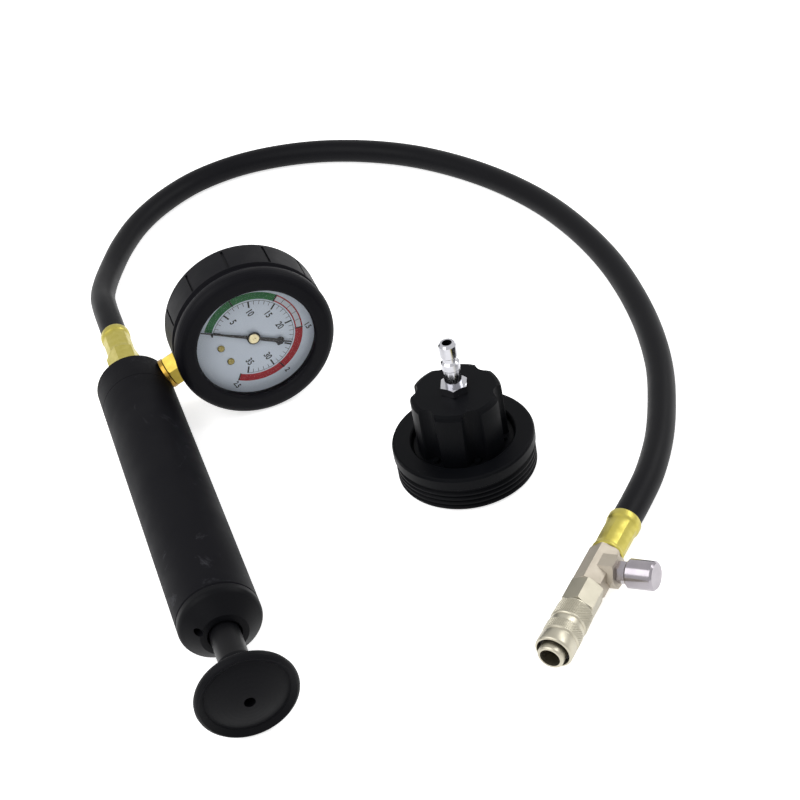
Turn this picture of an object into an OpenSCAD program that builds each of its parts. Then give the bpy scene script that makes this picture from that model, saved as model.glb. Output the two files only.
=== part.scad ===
// Hand-pumped pressure tester for a cooling system: a piston pump with a rubber-booted gauge,
// a hose that ends in a push-fit coupler with a relief button, and a test cap with a nipple.
// Millimetres. +Z is up and the table is Z = 0. The pump lies along Y with its knob towards -Y.

/* [Pump] */
// Outer diameter of the barrel and its head
pump_d = 34.5; // [32:0.5:38]
// Length of barrel and head, without the nose of the end cap
pump_l = 181; // [150:1:220]
// Wall thickness of the barrel
barrel_wall = 2.5; // [1.5:0.25:3.5]
// Length of the head that carries the hose and the gauge
head_l = 18; // [16:0.5:24]
// Length of the end cap that shows behind its rounded shoulder
end_cap_l = 6; // [4:0.5:10]
// How far the cone of the end cap stands out
end_cap_nose = 5; // [3:0.5:8]
// Diameter of the vent hole in the end cap
vent_d = 3.4; // [2:0.2:4]

/* [Plunger] */
// Diameter of the piston rod
rod_d = 12.5; // [10:0.5:15]
// Diameter of the knob
knob_d = 41; // [36:0.5:50]
// Distance from the barrel to the widest line of the knob, pushed in
knob_reach = 40; // [34:1:60]
// Height of the dome of the knob
knob_dome = 4.5; // [2:0.5:7]
// Length of the piston
piston_l = 14; // [11:1:20]
// Room left in front of the piston when the knob stands as shown
piston_gap = 20; // [18:1:40]

/* [Gauge] */
// Outer diameter of the rubber boot
boot_d = 75; // [72:0.5:82]
// Thickness of the boot round the case
boot_wall = 3.3; // [2.5:0.1:4.5]
// Depth of the boot from back to lip
boot_depth = 30.5; // [29:0.5:36]
// Opening of the boot over the dial
boot_opening_d = 55.4; // [50:0.2:58]
// Distance from the pump axis to the centre of the dial
gauge_reach = 61.5; // [58:0.5:75]
// Distance from the stem of the gauge back to the end of the head
stem_from_end = 8; // [7.5:0.5:10]
// Distance from the stem of the gauge forward to the lip of the boot
stem_to_lip = 22; // [20:0.5:24]
// Depth of the dial below the lip
dial_depth = 7.6; // [7:0.1:8.5]
// Teeth on the pointer pinion
pinion_teeth = 8; // [8:1:8]
// Teeth that the sector would have as a whole gear
sector_teeth = 72; // [72:1:72]
// Module of the movement's teeth
tooth_module = 0.4; // [0.4:0.01:0.42]

/* [Hose] */
// Outer diameter of the hose
hose_d = 12.5; // [11.5:0.25:13]
// Diameter of a ferrule at its mouth
ferrule_d = 14.2; // [14:0.1:16]
// Length of a ferrule
ferrule_l = 21; // [18:0.5:26]
// Width across flats of the hexagons at the pump end
hex_af = 14; // [13:0.5:16]

/* [Coupler] */
// Diameter of the knurled sleeve
sleeve_d = 15.5; // [15:0.25:18]
// Length of the knurled sleeve
sleeve_l = 23.5; // [23:0.5:27]
// Forward travel of the sleeve
sleeve_travel = 3; // [2:0.25:3]
// Bore that takes the nipple
socket_d = 8.2; // [8:0.1:8.4]
// Outer diameter of the tube that shows at the tip
tip_tube_d = 10.7; // [10.5:0.1:11]
// Diameter of a locking ball
ball_d = 2.4; // [2.2:0.1:2.5]
// Number of locking balls
ball_count = 3; // [3:1:3]
// Width across flats of the valve block
block_af = 12.5; // [12:0.25:14]
// Length of the valve block
block_l = 20.5; // [20:0.5:26]
// Width across flats of the coupler's own hexagon
coupler_af = 13; // [12:0.25:14]
// Length of the coupler's own hexagon
coupler_hex_l = 12; // [8:0.5:16]

/* [Relief valve] */
// Diameter of the relief button
button_d = 12; // [11.5:0.25:14]
// Length of the relief button
button_l = 11.7; // [11:0.1:15]
// Travel of the relief button
button_travel = 2.5; // [1.5:0.25:2.5]

/* [Test cap] */
// Diameter of the plain band above the thread
cap_d = 62.4; // [58:0.2:70]
// Height of the threaded part with its plain band
cap_flange_h = 18; // [16:0.5:24]
// Height of the thread alone
cap_thread_h = 12; // [10:0.5:14]
// Pitch of the thread
cap_pitch = 2.4; // [2:0.1:3]
// Diameter of the lobed grip
grip_d = 39.4; // [36:0.2:44]
// Height of the cap to the top of the grip
cap_h = 42; // [36:0.5:50]
// Number of flutes round the grip
flutes = 6; // [5:1:8]
// Diameter of the nipple's collar
nipple_d = 8; // [7.8:0.05:8]
// Length of the nipple above its hexagon
nipple_l = 21; // [20.5:0.5:24]

/* [Layout] */
// Distance in X from the pump axis to the cap
cap_x_from_pump = 125.5; // [110:0.5:160]
// Distance in Y from the barrel's knob end to the cap
cap_y_from_end = 68; // [40:1:90]
// Turn of the coupler in plan
coupler_heading = 225; // [220:1:230]
// Roll of the coupler about its own axis
coupler_roll = 8; // [0:1:15]

/* [Hidden] */
$fn = 64;

// Clearances: between pieces of one body, round sliding pieces, and the overlap of a cut
seat = 0.05;
slide = 0.1;
cut = 0.5;

// Pump
pump_r = pump_d / 2;
bore_r = pump_r - barrel_wall;
rod_r = rod_d / 2;
knob_r = knob_d / 2;
spigot_l = 8;
head_y = pump_l - head_l;
piston_front = head_y - spigot_l - piston_gap;
piston_back = piston_front - piston_l;
valve_seat_y = head_y + 3;
valve_room_r = 5.2;
check_ball_r = 3.5;
check_hole_r = 2.5;
boss_l = 4;
boss_r = 11;
port_y = pump_l - stem_from_end;

// The pump rests on its knob and on the far end of its head
rest_tilt = atan((knob_r - pump_r) / (pump_l + knob_reach));

// Hose end of the pump
adapter_hex_y = pump_l + boss_l;
adapter_hex_l = 6;
thread_r = 5.1;
nut_gap = 0.4;
nut_y = adapter_hex_y + adapter_hex_l + nut_gap;
nut_l = 15;
ferrule_y = nut_y + nut_l;
ferrule_mouth_y = ferrule_y + ferrule_l;
hose_grip = 2;

// Gauge, in a frame of its own: +Y to the top of the dial, +Z out of the dial
boot_r = boot_d / 2;
gauge_lean = asin((boot_r - pump_r - (stem_from_end + stem_to_lip - 5) * sin(rest_tilt))
    / gauge_reach);
lip_z = stem_to_lip;
boot_back_z = lip_z - boot_depth;
boot_back_wall = 2.5;
case_r = boot_r - boot_wall - seat;
case_wall = 1;
case_back_z = boot_back_z + boot_back_wall + seat;
lip_l = 3;
case_front_z = lip_z - lip_l;
dial_z = lip_z - dial_depth;
dial_t = 0.8;
lens_t = 2;
lens_z = case_front_z - lens_t - seat;
bezel_w = 4.4;
stem_hex_s = pump_r + 1.9;
stem_neck_r = 6.5;
stem_thread_r = 4.85;
stem_block_w = 13;
stem_block_top = -20;
plate_t = 1;
back_plate_z = 5.5;
front_plate_z = dial_z - dial_t - 1.4;
plate_r = 7;
pivot_r = 0.6;
staff_r = 1;
pinion_pitch_r = tooth_module * pinion_teeth / 2;
sector_pitch_r = tooth_module * sector_teeth / 2;
sector_y = -(pinion_pitch_r + sector_pitch_r);
sector_z = back_plate_z + plate_t + 1;
sector_t = 1.5;
scale_start = -135;
dial_screw_x = 4.4;
dial_screw_y = -15.1;
pointer_z = dial_z + 0.9;
bourdon_r = 24.5;
bourdon_start = -102;
bourdon_top = back_plate_z + 3.1;
link_r = 6;
link_pin_r = 0.5;
link_play = 0.3;
link_z = sector_z + sector_t + 0.2;
link_t = 0.6;
link_heading = 30;
sector_turn = 30;
// The pin on the sector's tail at rest, and the pin on the tube's tip in line with the link
tail_pin = [link_r * cos(link_heading - 90 - sector_turn / 2),
    sector_y + link_r * sin(link_heading - 90 - sector_turn / 2)];
link_dir = [cos(link_heading), sin(link_heading)];
tail_along = tail_pin * link_dir;
link_span = -tail_along + sqrt(tail_along * tail_along - tail_pin * tail_pin
    + bourdon_r * bourdon_r);
tip_pin = tail_pin + link_span * link_dir;
link_travel = 2 * link_r * sin(sector_turn / 2);
bourdon_sweep = 360 + bourdon_start - atan2(tip_pin[1], tip_pin[0]);

// Coupler, in a frame of its own: +X to its tip, origin in the mouth of its ferrule
block_x = ferrule_l;
coupler_hex_x = block_x + block_l;
sleeve_x = coupler_hex_x + coupler_hex_l;
tip_x = sleeve_x + sleeve_l + 3;
socket_r = socket_d / 2;
tube_r = tip_tube_d / 2;
ball_r = ball_d / 2;
ball_x = tip_x - 9;
ball_rest_r = socket_r + ball_r;
ball_slope = 0.3;
land_r = tube_r + slide;
recess_r = ball_rest_r + ball_r + slide;
guide_r = tube_r + 1.05;
guide_l = 4.5;
ramp_x = ball_x - 3.75;
ramp_l = (recess_r - land_r) / ball_slope;
land_l = 4;
ring_w = 0.8;
ring_r = tube_r + 0.95;
ring_x = ramp_x + (ring_r - land_r) / ball_slope + sleeve_travel + 0.4;
relief_x = block_x + 9;
seal_x = tip_x - 14.4;
poppet_seat_x = tip_x - 19.5;
poppet_room_r = 4.5;
poppet_room_l = 13.5;
branch_out = 9;
branch_af = 12;
branch_bore_r = 3.6;
relief_hex_af = 8;
relief_hex_l = 4;
button_start = branch_out + relief_hex_l + 0.2;

// Test cap, on its own axis
cap_r = cap_d / 2;
grip_r = grip_d / 2;
thread_crest_r = cap_r - 0.5;
thread_depth = 1.1;
thread_root_r = thread_crest_r - thread_depth;
flute_r = 5.2;
flute_centre = grip_r + 2.1;
cap_room_r = thread_root_r - 4.4;
cap_room_h = cap_flange_h - 4;
grip_room_r = 12;
grip_room_top = cap_h - 12;
nipple_hex_h = 4;
nipple_bore_r = 2.15;

// Places on the table: the origin is the middle of the pump and the cap
pump_x = -(cap_x_from_pump + cap_r + knob_r) / 2 + knob_r;
cap_x = pump_x + cap_x_from_pump;
pump_far_y = ((pump_l + knob_reach + knob_dome) - (ferrule_mouth_y - pump_l)) / 2 * cos(rest_tilt);
cap_y = pump_far_y - pump_l + cap_y_from_end;

// Route of the hose from the pump's ferrule to the coupler's, chosen along the photographed curve
hose_route = [[-68.1, 134.2, 16.6], [-68.1, 149, 16.3], [-68, 164, 15.4], [-67, 180, 12.8],
    [-63, 198, 9.3], [-56.5, 216, 7], [-47, 235, 6.3], [-34, 253, 6.3], [-17, 268, 6.3],
    [4, 279, 6.3], [28, 283, 6.3], [52, 280, 6.3], [76, 271, 6.3], [99, 256, 6.3],
    [120, 236, 6.3], [138, 211, 6.3], [153, 182, 6.3], [164, 150, 6.3], [170, 117, 6.3],
    [172, 84, 6.3], [170, 52, 6.3], [165, 21, 6.3], [157, -8, 6.3], [147, -32, 6.4],
    [135, -55, 6.8], [122, -74, 7.4], [110, -87.5, 7.7], [98.6, -98.9, 7.8]];
hose_steps = 2;
hose_sides = 12;
coupler_z = 7.8;
coupler_mouth = [100, -97.5];

// ---------- frames ----------

module at_pump() {
    translate([pump_x, pump_far_y, 0]) rotate([-rest_tilt, 0, 0])
        translate([0, -pump_l, pump_r]) children();
}

// A turned or extruded shape that runs along Y from y
module along_y(y) { translate([0, y, 0]) rotate([-90, 0, 0]) children(); }

// A turned or extruded shape that runs along X from x
module along_x(x) { translate([x, 0, 0]) rotate([0, 90, 0]) children(); }

// Z runs out of the head along the stem of the gauge
module at_stem() {
    at_pump() translate([0, port_y, 0]) rotate([0, 90 - gauge_lean, 0]) children();
}

module at_gauge() {
    at_stem() rotate([90, 0, 0]) translate([0, gauge_reach, 0]) children();
}

module at_coupler() {
    translate([coupler_mouth[0], coupler_mouth[1], coupler_z])
        rotate([0, 0, coupler_heading]) rotate([coupler_roll, 0, 0]) children();
}

// Z runs out of the side branch of the valve block
module at_branch() { at_coupler() translate([relief_x, 0, 0]) rotate([-90, 0, 0]) children(); }

module at_cap() { translate([cap_x, cap_y, 0]) children(); }

// ---------- shared shapes ----------

module tube(outer_r, inner_r, length) {
    rotate_extrude() translate([inner_r, 0]) square([outer_r - inner_r, length]);
}

module turned(outline) { rotate_extrude() polygon(outline); }

// Points of an arc round centre c, from angle a to angle b
function arc(c, r, a, b, steps = 8) =
    [for (i = [0:steps]) let(t = a + (b - a) * i / steps) c + r * [cos(t), sin(t)]];

module rod(r, length, z = 0) { translate([0, 0, z]) cylinder(r = r, h = length); }

// A hexagonal bar with turned chamfers on the ends that are asked for
module hex_bar(af, length, turn = 0, chamfer = 0.8, both = true) {
    corner = af / sqrt(3);
    intersection() {
        rotate([0, 0, turn]) cylinder(r = corner, h = length, $fn = 6);
        turned([[0, 0], [corner - (both ? chamfer : 0), 0], [corner, both ? chamfer / 2 : 0],
            [corner, length - chamfer / 2], [corner - chamfer, length], [0, length]]);
    }
}

function unit(v) = v / norm(v);

// A round tube swept along a path, with one reference direction for each of its points
module swept_tube(path, ups, r, sides) {
    last = len(path) - 1;
    points = [for (i = [0:last])
        let(t = unit(path[min(i + 1, last)] - path[max(i - 1, 0)]), side = unit(cross(t, ups[i])),
            up = cross(side, t))
        for (k = [0:sides - 1]) path[i] + r * (cos(360 * k / sides) * side
            + sin(360 * k / sides) * up)];
    walls = [for (i = [0:last - 1], k = [0:sides - 1])
        let(a = i * sides + k, b = i * sides + (k + 1) % sides)
        each [[a, b, b + sides], [a, b + sides, a + sides]]];
    polyhedron(points, concat([[for (k = [sides - 1:-1:0]) k]], walls,
        [[for (k = [0:sides - 1]) last * sides + k]]), convexity = 8);
}

// A coil spring with closed ends, standing on Z = 0
module coil_spring(coil_r, wire_r, length, turns, segments = 12, sides = 6) {
    steps = turns * segments;
    rise = length - 2 * wire_r;
    path = [for (i = [0:steps]) let(f = i / steps, a = 360 * turns * f)
        [coil_r * cos(a), coil_r * sin(a), wire_r + rise * max(0, min(1, (f * turns - 0.75)
            / (turns - 1.5)))]];
    ups = [for (i = [0:steps]) let(a = 360 * turns * i / steps) [cos(a), sin(a), 0]];
    swept_tube(path, ups, wire_r, sides);
}

module ring_seal(middle_r, wire_r, z = 0) {
    translate([0, 0, z]) rotate_extrude() translate([middle_r, 0]) circle(r = wire_r, $fn = 24);
}

// ---------- pump ----------

module pump_barrel() {
    color("#222225") at_pump() along_y(end_cap_l) turned([[bore_r, 0], [pump_r - 0.6, 0],
        [pump_r, 0.6], [pump_r, head_y - end_cap_l], [bore_r, head_y - end_cap_l]]);
}

head_seal_y = head_y - spigot_l / 2;

module pump_head() {
    color("#1f1f22") at_pump() difference() {
        along_y(0) turned([[0, head_y - spigot_l], [bore_r - seat, head_y - spigot_l],
            [bore_r - seat, head_seal_y - 1.2], [bore_r - 1.6, head_seal_y - 1.2],
            [bore_r - 1.6, head_seal_y + 1.2], [bore_r - seat, head_seal_y + 1.2],
            [bore_r - seat, head_y], [pump_r - 0.4, head_y], [pump_r, head_y + 0.4],
            [pump_r, pump_l - 1.6], [pump_r - 1.6, pump_l], [boss_r, pump_l],
            [boss_r, pump_l + boss_l - 0.8], [boss_r - 0.8, pump_l + boss_l],
            [0, pump_l + boss_l]]);
        along_y(head_y - spigot_l - cut) rod(check_hole_r, head_l + spigot_l);
        along_y(valve_seat_y) rod(valve_room_r, head_l + boss_l);
        translate([0, port_y, 0]) rotate([0, 90 - gauge_lean, 0]) {
            rod(stem_thread_r + seat, pump_r + cut);
            rod(7.5, 5, pump_r - 0.6);
        }
    }
}

module head_seal() {
    color("#161617") at_pump() along_y(0) ring_seal(bore_r - 0.85, 0.75, head_seal_y);
}

// The end cap has a rounded shoulder and a shallow cone up to the bore for the rod
module end_cap() {
    shoulder = 3.5;
    nose_r = rod_r + 3;
    cone = atan(end_cap_nose / (pump_r - shoulder - nose_r));
    color("#1c1c1f") at_pump() difference() {
        along_y(0) turned(concat([[rod_r + slide, end_cap_l + 9], [bore_r - seat, end_cap_l + 9],
            [bore_r - seat, end_cap_l], [pump_r - 0.5, end_cap_l], [pump_r, end_cap_l - 0.5]],
            arc([pump_r - shoulder, shoulder], shoulder, 0, cone - 90),
            [[nose_r + 0.6, -end_cap_nose + 0.25], [nose_r - 1, -end_cap_nose],
            [rod_r + 0.9, -end_cap_nose], [rod_r + 0.5, -end_cap_nose + 0.5],
            [rod_r + 0.5, -end_cap_nose + 3], [rod_r + slide, -end_cap_nose + 3.4]]));
        translate([-9.4, 0, 4.8]) along_y(-end_cap_nose) rod(vent_d / 2, end_cap_l + 20);
    }
}

module piston_rod() {
    color("#26262a") at_pump() along_y(-knob_reach + 8) difference() {
        rod(rod_r, piston_back + knob_reach - 8);
        rod(2.1, 12, -cut);
        rod(2.1, 14, piston_back + knob_reach - 8 - 12);
    }
}

module piston() {
    groove = piston_l / 2;
    color("#cfcabd") at_pump() along_y(piston_back) turned([[2.1, seat], [rod_r + 2, seat],
        [bore_r - 1.6, 2], [bore_r - slide, 2.5], [bore_r - slide, groove - 1.6],
        [bore_r - 3, groove - 1.6], [bore_r - 3, groove + 1.6],
        [bore_r - slide, groove + 1.6], [bore_r - slide, piston_l - 0.6],
        [bore_r - slide - 0.6, piston_l], [5, piston_l], [5, piston_l - 3], [2.1, piston_l - 3]]);
}

module piston_seal() {
    color("#161617") at_pump() along_y(piston_back + piston_l / 2)
        turned([[bore_r - 2.9, -1.5], [bore_r - 0.6, -1.4], [bore_r - slide / 2, -0.6],
            [bore_r - slide / 2, 0.6], [bore_r - 0.6, 1.4], [bore_r - 2.9, 1.5]]);
}

module piston_screw() {
    color("#b9b9bb") at_pump() along_y(piston_front - 3 + seat) difference() {
        union() {
            rod(4.5, 2.6);
            rod(2, piston_l + 5, -piston_l - 5 + 1);
        }
        rod(1.2, 4, 1.2, $fn = 6);
    }
}

// A mushroom knob: a domed face with a rounded rim, and a hollow flare back to the rod
module knob() {
    rim = 2.6;
    neck_r = rod_r + 2.5;
    neck_y = -knob_reach + 16;
    dome_r = ((knob_r - rim) * (knob_r - rim) + knob_dome * knob_dome) / (2 * knob_dome);
    dome_c = [0, -knob_reach - rim / 2 + dome_r - knob_dome + rim / 2];
    dome_a = asin((knob_r - rim) / dome_r);
    color("#1d1d20") at_pump() along_y(0) difference() {
        turned(concat([[0, neck_y], [neck_r - 0.8, neck_y], [neck_r, neck_y - 0.8],
            [neck_r, neck_y - 3]],
            arc([neck_r + 9, neck_y - 3], 9, 180, 236), [[knob_r - rim, -knob_reach + rim]],
            arc([knob_r - rim, -knob_reach], rim, 90, -65),
            arc([0, -knob_reach - knob_dome + dome_r], dome_r, dome_a - 90 - 2, -90)));
        translate([0, 0, -knob_reach + 8]) cylinder(r = rod_r + seat, h = 30);
        translate([0, 0, -knob_reach - knob_dome - cut]) cylinder(r = 2.3, h = 20);
    }
}

module knob_screw() {
    color("#2a2a2c") at_pump() along_y(-knob_reach + 1) difference() {
        rod(2.05, 16);
        rod(1.1, 2, -cut, $fn = 6);
    }
}

module check_ball() {
    color("#c4c4c6") at_pump() translate([0, check_ball_y, 0]) sphere(r = check_ball_r);
}
check_ball_y = valve_seat_y + sqrt(pow(check_ball_r + seat, 2) - pow(check_hole_r, 2));

module check_spring() {
    start = check_ball_y + check_ball_r + slide;
    color("#b5b5b8") at_pump() along_y(start)
        coil_spring(2.6, 0.35, pump_l - 2 - start - seat, 3, 10, 5);
}

// ---------- hose end of the pump ----------

module hose_adapter() {
    thread_from = pump_l - 2;
    color("#c9a94a") at_pump() difference() {
        union() {
            along_y(thread_from) rod(thread_r, adapter_hex_y - thread_from + 1);
            along_y(adapter_hex_y) hex_bar(hex_af, adapter_hex_l, 30);
            along_y(adapter_hex_y + adapter_hex_l - 1) rod(thread_r, 10);
        }
        along_y(thread_from - cut) rod(2, 40);
    }
}

module hose_nut() {
    color("#d3b652") at_pump() along_y(nut_y) difference() {
        hex_bar(hex_af, nut_l, 12);
        rod(thread_r + seat, 10.5, -cut);
        rod(2.2, nut_l + 1, 0);
    }
}

// A crimped ferrule on Z, its mouth at the top: a flared lip and crimp flats below it
module ferrule(length) {
    mouth_r = ferrule_d / 2;
    waist_r = mouth_r - 0.5;
    difference() {
        intersection() {
            turned([[0, 0], [waist_r, 0], [waist_r + 0.2, 0.6], [waist_r + 0.2, 1.4],
                [waist_r - 0.1, 2], [waist_r, length - 5], [mouth_r, length - 3.5],
                [mouth_r, length - 0.8], [mouth_r - 0.4, length], [0, length]]);
            union() {
                cylinder(r = mouth_r / cos(180 / 8) - 0.9, h = length - 4, $fn = 8);
                rod(mouth_r + 1, 5, length - 4.6);
                rod(mouth_r + 1, 2.6, -0.4);
            }
        }
        rod(hose_d / 2 + seat, hose_grip + 0.5 + cut, length - hose_grip - 0.5);
        rod(2.2, length, -cut);
    }
}

module hose_ferrule() { color("#d9cf7e") at_pump() along_y(ferrule_y) ferrule(ferrule_l); }

// A point between p1 and p2 on a smooth curve through all the route's points
function between(p0, p1, p2, p3, t) =
    0.5 * (2 * p1 + (p2 - p0) * t + (2 * p0 - 5 * p1 + 4 * p2 - p3) * t * t
        + (3 * p1 - p0 - 3 * p2 + p3) * t * t * t);
function smooth_route(p, steps) = let(n = len(p) - 1) concat([for (i = [0:n - 1], s = [0:steps - 1])
    between(p[max(i - 1, 0)], p[i], p[i + 1], p[min(i + 2, n)], s / steps)], [p[n]]);

module hose() {
    path = smooth_route(hose_route, hose_steps);
    color("#202023") swept_tube(path, [for (p = path) [0, 0, 1]], hose_d / 2, hose_sides);
}

// ---------- gauge ----------

// The boot: a thick rounded lip, a groove behind it, and a ribbed body with a rounded back
module gauge_boot() {
    lip_r = boot_opening_d / 2;
    groove_z = lip_z - 9.5;
    body_r = boot_r - 0.4;
    back_round = 3;
    color("#1f1f21") at_gauge() difference() {
        turned(concat(
            [[0, boot_back_z], [body_r - back_round, boot_back_z]],
            arc([body_r - back_round, boot_back_z + back_round], back_round, -90, 0, 4),
            [[body_r, groove_z - 1.5], [body_r - 1.2, groove_z - 0.8], [body_r - 1.2, groove_z + 0.6]],
            arc([boot_r - 4, lip_z - 5], 4, -45, 0, 3),
            arc([boot_r - 4.2, lip_z - 4.2], 4.2, 0, 90, 6),
            [[lip_r + 1.6, lip_z]], arc([lip_r + 1.6, lip_z - 1.6], 1.6, 90, 180, 4),
            [[lip_r, lip_z - 2.6], [lip_r + 0.4, case_front_z + seat],
            [case_r + seat, case_front_z + seat], [case_r + seat, boot_back_z + boot_back_wall],
            [0, boot_back_z + boot_back_wall]]));
        for (i = [0:11]) rotate([0, 0, 30 * i + 15])
            translate([body_r - 0.7, -0.6, boot_back_z + 4]) cube([2, 1.2, groove_z - boot_back_z - 6]);
        translate([0, -boot_r - cut, 0]) rotate([-90, 0, 0]) cylinder(r = 8.6, h = 10);
    }
}

module gauge_case() {
    color("#2a2a2c") at_gauge() difference() {
        turned([[0, case_back_z], [case_r - 1, case_back_z], [case_r, case_back_z + 1],
            [case_r, case_front_z], [case_r - case_wall, case_front_z],
            [case_r - case_wall, case_back_z + case_wall], [0, case_back_z + case_wall]]);
        translate([0, -case_r - cut, 0]) rotate([-90, 0, 0])
            cylinder(r = stem_neck_r + seat, h = 8);
    }
}

// The brass stem: a threaded end in the head, a hexagon, and a block that carries the movement
module gauge_stem() {
    hex_end = gauge_reach - case_r - seat;
    block_from = gauge_reach - case_r + 2.5;
    color("#cdb04c") difference() {
        union() {
            at_stem() rod(stem_thread_r, stem_hex_s - pump_r + 10, pump_r - 9.5);
            at_stem() translate([0, 0, stem_hex_s]) hex_bar(hex_af, hex_end - stem_hex_s, 0);
            at_stem() rod(stem_neck_r, block_from - hex_end + 1, hex_end - 0.5);
            at_gauge() translate([-stem_block_w / 2, -case_r + 2.5, -3])
                cube([stem_block_w, case_r - 2.5 + stem_block_top, back_plate_z + 3 - seat]);
        }
        at_stem() rod(1.5, 28, pump_r - 10);
        at_gauge() rotate_extrude() translate([bourdon_r - 1.1 - seat, bourdon_top - 6 - seat])
            square([2.2 + 2 * seat, 10]);
    }
}

module stem_washer() {
    color("#d39a3a") at_stem() translate([0, 0, pump_r - 0.55])
        turned([[stem_thread_r + seat, 0], [7.2, 0], [7.4, 0.3], [7.4, 2],
            [7.1, 2.35], [stem_thread_r + seat, 2.35]]);
}

module gauge_bezel() {
    outer = case_r - case_wall - seat;
    inner = outer - bezel_w;
    color("#27272a") at_gauge() turned([[inner, lens_z - 0.8], [outer, lens_z - 0.8],
        [outer, lens_z - seat], [inner, lens_z - seat]]);
}

module gauge_lens() {
    r = case_r - case_wall - seat;
    color([0.85, 0.92, 0.95, 0.3]) at_gauge() translate([0, 0, lens_z])
        turned([[0, 0], [r, 0], [r, lens_t - 0.3], [r - 0.3, lens_t], [0, lens_t]]);
}

module gauge_dial() {
    color("#c3cdda") at_gauge() translate([0, 0, dial_z - dial_t]) difference() {
        rod(case_r - case_wall - 0.3, dial_t);
        rod(2.6, 3, -1);
        for (x = [-dial_screw_x, dial_screw_x]) translate([x, dial_screw_y, 0]) rod(1.1, 3, -1);
    }
}

// Slotted cheese-head screws that hold the dial to the movement
module dial_screws() {
    color("#a99a63") at_gauge() for (x = [-dial_screw_x, dial_screw_x])
        translate([x, dial_screw_y, dial_z + seat]) difference() {
            union() {
                turned([[0, 0], [1.7, 0], [1.7, 0.4], [1.3, 0.65], [0, 0.65]]);
                rod(1, dial_t + 2, -dial_t - 1.9);
            }
            translate([-2, -0.2, 0.35]) cube([4, 0.4, 1]);
        }
}

// The curved tube that unrolls under pressure, from the stem block round to its closed tip
module bourdon_tube() {
    bottom = bourdon_top - 6;
    color("#b8863b") at_gauge() {
        rotate([0, 0, bourdon_start - bourdon_sweep]) rotate_extrude(angle = bourdon_sweep)
            polygon([[bourdon_r - 1.1, bottom + 1], [bourdon_r - 0.4, bottom],
                [bourdon_r + 0.4, bottom], [bourdon_r + 1.1, bottom + 1],
                [bourdon_r + 1.1, bourdon_top - 1], [bourdon_r + 0.4, bourdon_top],
                [bourdon_r - 0.4, bourdon_top], [bourdon_r - 1.1, bourdon_top - 1]]);
        translate([tip_pin[0], tip_pin[1], 0]) rotate([0, 0, bourdon_start - bourdon_sweep]) {
            translate([-1.5, -1.5, bottom - 0.2]) cube([3, 4, 6.4]);
            rod(link_pin_r, link_z + link_t + 0.4 - bourdon_top, bourdon_top);
        }
    }
}

// The link swings on the sector's tail and holds the tip of the tube in a slot for its travel
module tip_link() {
    hole = link_pin_r + link_play;
    eye = link_pin_r + slide;
    color("#b98f3e") at_gauge() translate([tail_pin[0], tail_pin[1], link_z])
        rotate([0, 0, link_heading]) linear_extrude(link_t) difference() {
            union() {
                circle(r = hole + 0.7, $fn = 32);
                translate([0, -0.7]) square([link_span, 1.4]);
                translate([link_span - link_travel, -hole - 0.6])
                    square([link_travel, 2 * hole + 1.2]);
                for (x = [link_span - link_travel, link_span]) translate([x, 0])
                    circle(r = hole + 0.6, $fn = 32);
            }
            circle(r = eye, $fn = 32);
            translate([link_span - link_travel, -hole]) square([link_travel, 2 * hole]);
            for (x = [link_span - link_travel, link_span]) translate([x, 0])
                circle(r = hole, $fn = 32);
        }
}

module plate_outline() {
    hull() {
        circle(r = plate_r);
        translate([0, sector_y - 1]) circle(r = plate_r);
        translate([0, stem_block_top + 2.5]) circle(r = plate_r - 2);
    }
}

module movement_back_plate() {
    color("#c8a951") at_gauge() translate([0, 0, back_plate_z]) difference() {
        union() {
            linear_extrude(plate_t) plate_outline();
            for (x = [-plate_r + 1.6, plate_r - 1.6]) translate([x, 3, plate_t])
                cylinder(r = 1.1, h = front_plate_z - back_plate_z - plate_t - seat);
        }
        rod(pivot_r + seat, 3, -1);
        translate([0, sector_y, 0]) rod(pivot_r + seat, 3, -1);
    }
}

module movement_front_plate() {
    color("#c8a951") at_gauge() translate([0, 0, front_plate_z]) difference() {
        linear_extrude(plate_t) plate_outline();
        rod(staff_r + slide, 3, -1);
        translate([0, sector_y, 0]) rod(pivot_r + seat, 3, -1);
        for (x = [-dial_screw_x, dial_screw_x]) translate([x, dial_screw_y, 0])
            rod(1 + seat, 3, -1);
    }
}

// Involute of a gear tooth's flank at radius r, as the angle it has turned from the base circle
function involute_angle(base_r, r) = let(a = sqrt(max(0, pow(r / base_r, 2) - 1)))
    a * 180 / PI - atan(a);
pressure_angle = 25;
tooth_backlash = 0.16;

// Half the angle of a tooth of one gear at radius r
function half_tooth(teeth, r) = let(pitch_r = tooth_module * teeth / 2,
    base_r = pitch_r * cos(pressure_angle))
    90 / teeth - tooth_backlash / 2 / pitch_r * 180 / PI + involute_angle(base_r, pitch_r)
        - involute_angle(base_r, max(r, base_r));

// Outline of one tooth round angle a, from root_r to tip_r
function tooth(teeth, a, root_r, tip_r, steps = 4) = concat(
    [for (i = [0:steps]) let(r = root_r + (tip_r - root_r) * i / steps, h = half_tooth(teeth, r))
        r * [cos(a - h), sin(a - h)]],
    [for (i = [steps:-1:0]) let(r = root_r + (tip_r - root_r) * i / steps, h = half_tooth(teeth, r))
        r * [cos(a + h), sin(a + h)]]);

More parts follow.
